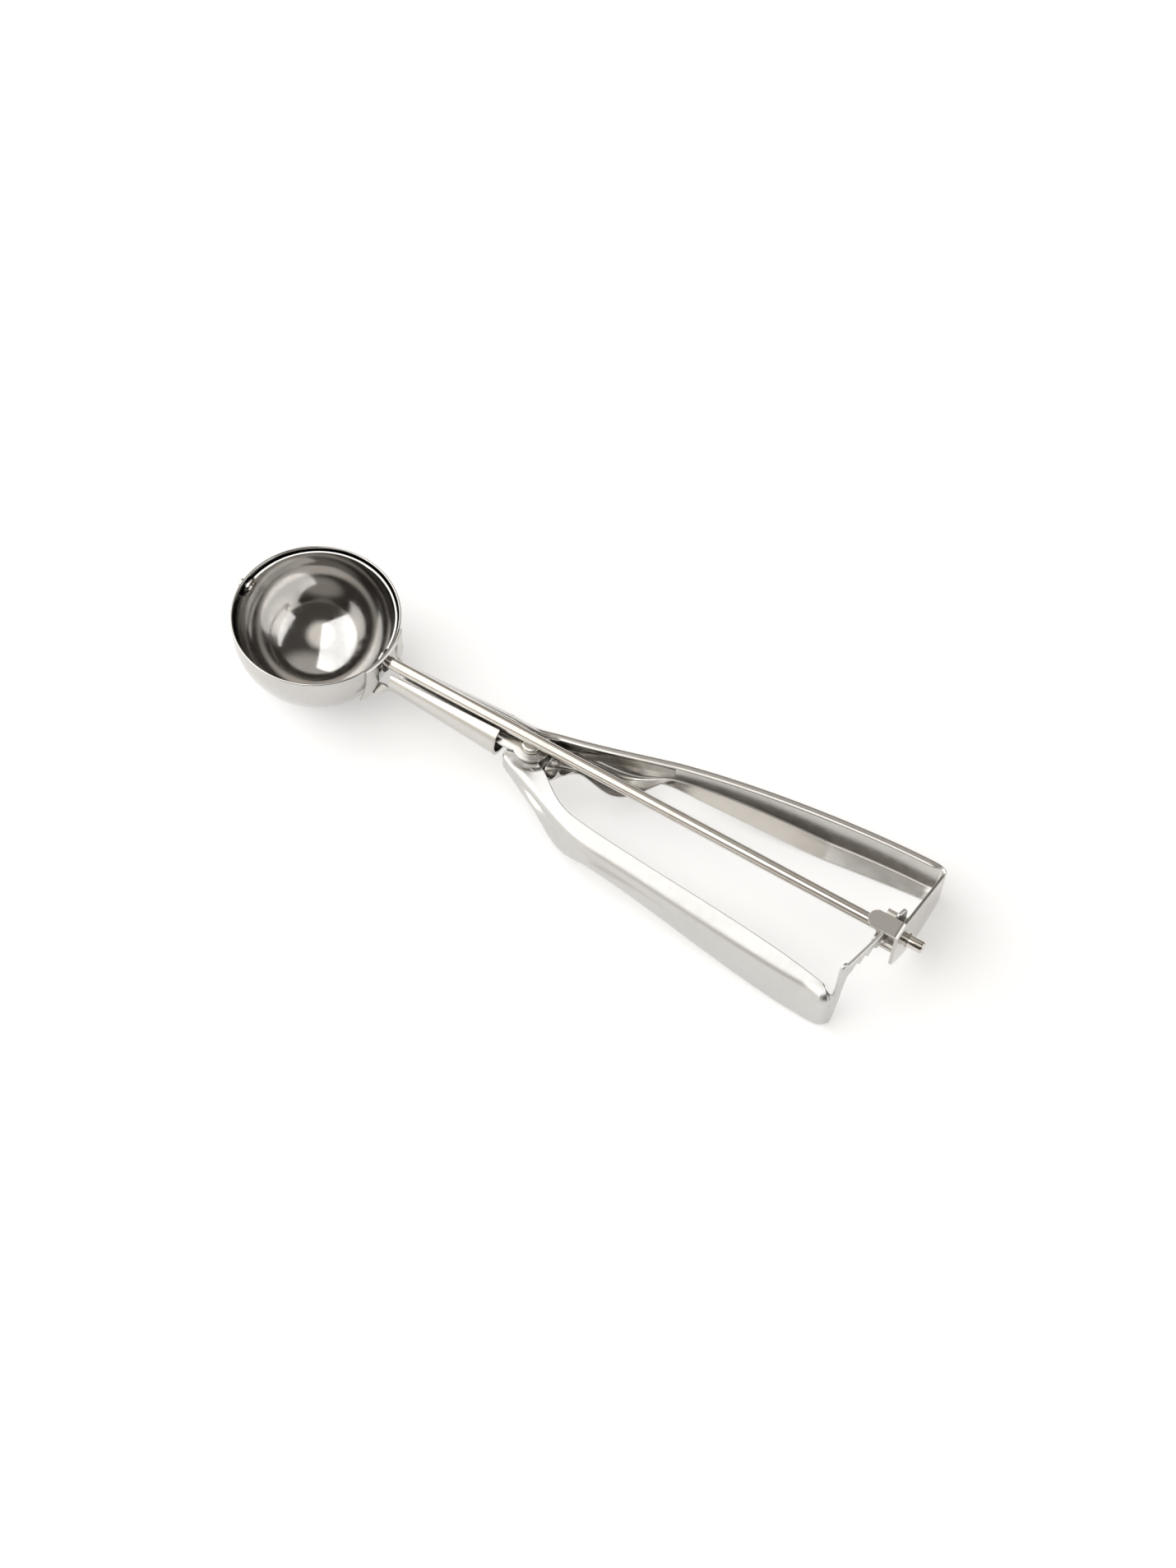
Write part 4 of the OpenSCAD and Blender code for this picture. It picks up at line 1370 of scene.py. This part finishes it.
    def build(self, shop: Workshop) -> None:
        """Builds the channel and both knuckle plates in place of the solid.

        Args:
            shop: The workshop.
        """
        high = self.top - self.plate_drop - self.sheet - 0.05
        shop.fit(self.channel(), "lever", Metal.LEVER, "squeeze_handle", self.crease)
        for name, low in (("knuckle_plate_low", self.levels[0]), ("knuckle_plate_high", high)):
            made = self.knuckle_plate(name, low)
            shop.fit(made, "lever", Metal.LEVER, "squeeze_handle", PLATE_CREASE)


@dataclass
class LeafSpring:
    """The hairpin spring: a loop round the rivet and a leg along each handle's wall."""

    thick: float = 0.6
    high: float = 3.4
    z: float = -12.15
    bow: float = 2.4
    near_end: Point = (96.7, -16.6)
    far_end: Point = (115.4, 16.9)
    blend_y: float = 2.2

    def build(self, shop: Workshop) -> None:
        """Bends the strip along its line and leaves it on no body.

        The strip stands on edge: a point is the line's point, with z spread over the strip's
        height, and its normal is square to the line in plan.

        Args:
            shop: The workshop.
        """
        p, b = PIVOT_X, self.bow
        near = bezier([(p, -b), (p + 6, -b), (87.5, -12.0), self.near_end], 50)
        far = bezier([(p, b), (p + 8, b), (92, 11), self.far_end], 60)
        loop = arc((p, 0), b, -95, -265, 36)
        line = PlanLine([self.near_end], near[::-1], loop, far, [self.far_end])
        s = np.linspace(0, line.length, 240)
        z = self.z + np.linspace(-0.5, 0.5, 9) * self.high
        grid = (len(s), len(z))
        plan = np.broadcast_to(line.at(s)[:, None], (*grid, 2))
        middle = np.concatenate([plan, np.broadcast_to(z, grid)[..., None]], -1)
        side = np.c_[line.inward(s, 1.0), np.zeros(len(s))]
        normal = np.broadcast_to(side[:, None], middle.shape)
        piece = sheet_metal("hairpin_spring", middle, normal, self.thick)
        shop.fit(piece, None, Metal.SPRING, "leaf_spring")
        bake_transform(piece)


# ---------------------------------------------------------------- studio


def toward(bearing: float, height: float) -> Triple:
    """The unit direction with a bearing from +X and a height over the table, in degrees."""
    b, h = math.radians(bearing), math.radians(height)
    return math.cos(b) * math.cos(h), math.sin(b) * math.cos(h), math.sin(h)


@dataclass(frozen=True)
class Lamp:
    """One soft lamp: its bearing and height in degrees, its distance and size in metres, its glow."""

    name: str
    bearing: float
    height: float
    distance: float
    width: float
    tall: float
    glow: float

    def place(self) -> None:
        """Sets the lamp on a sphere round the scoop's middle, facing inwards.

        A lamp's power is its glow times its area times pi, so that it looks as bright as its
        glow says whatever its size.
        """
        way = Vector(toward(self.bearing, self.height))
        data = bpy.data.lights.new(self.name, "AREA")
        data.shape, data.size, data.size_y = "RECTANGLE", self.width, self.tall
        data.energy = self.glow * self.width * self.tall * math.pi
        made = bpy.data.objects.new(self.name, data)
        made.rotation_mode = "QUATERNION"
        made.location = way * self.distance + Vector((0.06, 0.0, -0.01))
        made.rotation_quaternion = (-way).to_track_quat("-Z", "Y")
        bpy.context.scene.collection.objects.link(made)


@dataclass(frozen=True)
class Glow:
    """A soft pale patch of the room: bearing, height, outer and inner half width in degrees, glow."""

    name: str
    bearing: float
    height: float
    outer: float
    inner: float
    glow: float
    tint: Triple = (1.0, 0.95, 0.885)

    def add(self, tree: bpy.types.NodeTree, way: bpy.types.NodeSocket) -> bpy.types.Node:
        """Adds nodes for the patch: the cosine from its middle, mapped from its rim to its core.

        Args:
            tree: The world's node tree.
            way: The direction from the scoop.

        Returns:
            A node that gives the patch's glow in that direction.
        """
        middle = {0: way, 1: toward(self.bearing, self.height)}
        near = add_node(tree, "VectorMath", middle, operation="DOT_PRODUCT", label=self.name)
        rim, core = (math.cos(math.radians(v)) for v in (self.outer, self.inner))
        span = {"Value": near.outputs["Value"], "From Min": rim, "From Max": core, "To Max": self.glow}
        level = add_node(tree, "MapRange", span, interpolation_type="SMOOTHSTEP")
        return add_node(tree, "VectorMath", {0: self.tint, "Scale": level}, operation="SCALE")


@dataclass
class Studio:
    """Pale floor, soft lights, a plain surrounding and the camera."""

    camera_at: Triple = (294.52, -382.10, 688.57)
    right: Triple = (0.85463, 0.51771, 0.03969)
    up: Triple = (-0.45957, 0.71865, 0.52186)
    forward: Triple = (-0.24165, 0.46424, -0.85211)
    lens: float = 64.28
    floor_half: float = 2500.0
    floor_colour: Triple = (0.86, 0.86, 0.86)
    floor_glow: float = 0.31
    horizon: Triple = (0.34, 0.325, 0.305)
    wall_shades: tuple[tuple[float, Triple], ...] = (
        (0.10, (0.20, 0.185, 0.17)),
        (0.30, (0.082, 0.071, 0.061)),
    )
    ceiling: Triple = (0.095, 0.089, 0.082)
    lamps: tuple[Lamp, ...] = (
        Lamp("softbox_left", -154.0, 48.0, 1.0, 1.60, 1.50, 1.62),
        Lamp("softbox_right", 16.0, 24.0, 1.1, 1.05, 0.80, 1.15),
    )
    glows: tuple[Glow, ...] = (
        Glow("left_wall", -142.0, 4.0, 58.0, 20.0, 0.85),
        Glow("right_wall", 14.0, 6.0, 40.0, 18.0, 0.70),
        Glow("far_wall", 108.0, 50.0, 38.0, 14.0, 0.50),
        Glow("high_window", -66.0, 72.0, 23.0, 11.0, 1.0),
    )

    def camera(self) -> None:
        """Sets the camera by its place and its three axes."""
        data = bpy.data.cameras.new("camera")
        data.lens, data.sensor_width = self.lens, 36.0
        data.clip_start, data.clip_end = 0.01, 20.0
        made = bpy.data.objects.new("camera", data)
        axes = Matrix((self.right, self.up, tuple(-v for v in self.forward))).transposed().to_4x4()
        made.matrix_world = Matrix.Translation(Vector(self.camera_at) * MM) @ axes
        bpy.context.scene.collection.objects.link(made)
        bpy.context.scene.camera = made

    def floor(self) -> None:
        """A flat floor that touches the bowl's ball and the handles' feet.

        Its lean along X solves foot distance times sine plus foot height times cosine equal to
        the ball's radius, which eight rounds of substitution settle.
        """
        lean = 0.0
        for _ in range(8):
            lean = math.asin((BOWL_RADIUS - (SPINDLE_Z - FOOT_Z) * math.cos(lean)) / TAB_X)
        start = SPINDLE_Z - BOWL_RADIUS / math.cos(lean) - 0.05
        h = self.floor_half
        points = [(x, y, start + x * math.tan(lean)) for x, y in ((-h, -h), (h, -h), (h, h), (-h, h))]
        floor = mesh_object("floor", np.array(points), [[0, 1, 2, 3]])
        if floor.data.polygons[0].normal.z < 0:
            floor.data.flip_normals()
        floor.data.materials.append(self.floor_material())

    def floor_material(self) -> bpy.types.Material:
        """A matt white floor that camera and mirror rays see paler, with its shadows kept.

        Returns:
            The material.
        """
        material = bpy.data.materials.new("studio_floor")
        material.use_nodes = True
        tree = material.node_tree
        plain = {"Base Color": (*self.floor_colour, 1.0), "Roughness": 0.9, "Specular IOR Level": 0.1}
        matt = feed(tree.nodes["Principled BSDF"], plain)
        path = add_node(tree, "LightPath", {}).outputs
        seen: Feed = path["Is Camera Ray"]
        for kind in ("Is Glossy Ray", "Is Transmission Ray"):
            seen = add_node(tree, "Math", {0: seen, 1: path[kind]}, operation="MAXIMUM")
        share = add_node(tree, "Math", {0: seen, 1: self.floor_glow}, operation="MULTIPLY")
        glow = add_node(tree, "Emission", {"Color": (1.0, 1.0, 1.0, 1.0), "Strength": share})
        both = add_node(tree, "AddShader", {0: matt, 1: glow})
        feed(tree.nodes["Material Output"], {"Surface": both})
        return material

    def surrounding(self) -> None:
        """The room behind the lamps: a dim warm grey that is lighter towards the table's edge."""
        world = bpy.data.worlds.new("studio")
        bpy.context.scene.world = world
        world.use_nodes = True
        tree = world.node_tree
        way = add_node(tree, "TexCoord", {}).outputs["Generated"]
        height = add_node(tree, "SeparateXYZ", {0: way}).outputs["Z"]
        light = add_node(tree, "ValToRGB", {"Fac": height})
        stops = light.color_ramp.elements
        stops[0].color, stops[1].color = (*self.horizon, 1.0), (*self.ceiling, 1.0)
        for place, shade_there in self.wall_shades:
            stops.new(place).color = (*shade_there, 1.0)
        for glow in self.glows:
            light = add_node(tree, "VectorMath", {0: light, 1: glow.add(tree, way)}, operation="ADD")
        feed(tree.nodes["Background"], {"Color": light})

    def build(self) -> None:
        """Sets the whole studio and the plain view transform."""
        self.camera()
        self.floor()
        self.surrounding()
        for lamp in self.lamps:
            lamp.place()
        bpy.context.scene.view_settings.view_transform = "Standard"


def main() -> None:
    """Builds the studio and the scoop."""
    logging.basicConfig(level=logging.INFO, format="%(name)s: %(message)s")
    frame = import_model()
    Studio().build()
    shop = Workshop(frame, Finishes())
    for assembly in (Bowl(), Spindle(), FixedHandle(), SqueezeHandle(), LeafSpring()):
        assembly.build(shop)
    LOG.info("%d pieces in all", shop.count)


if __name__ == "__main__":
    main()
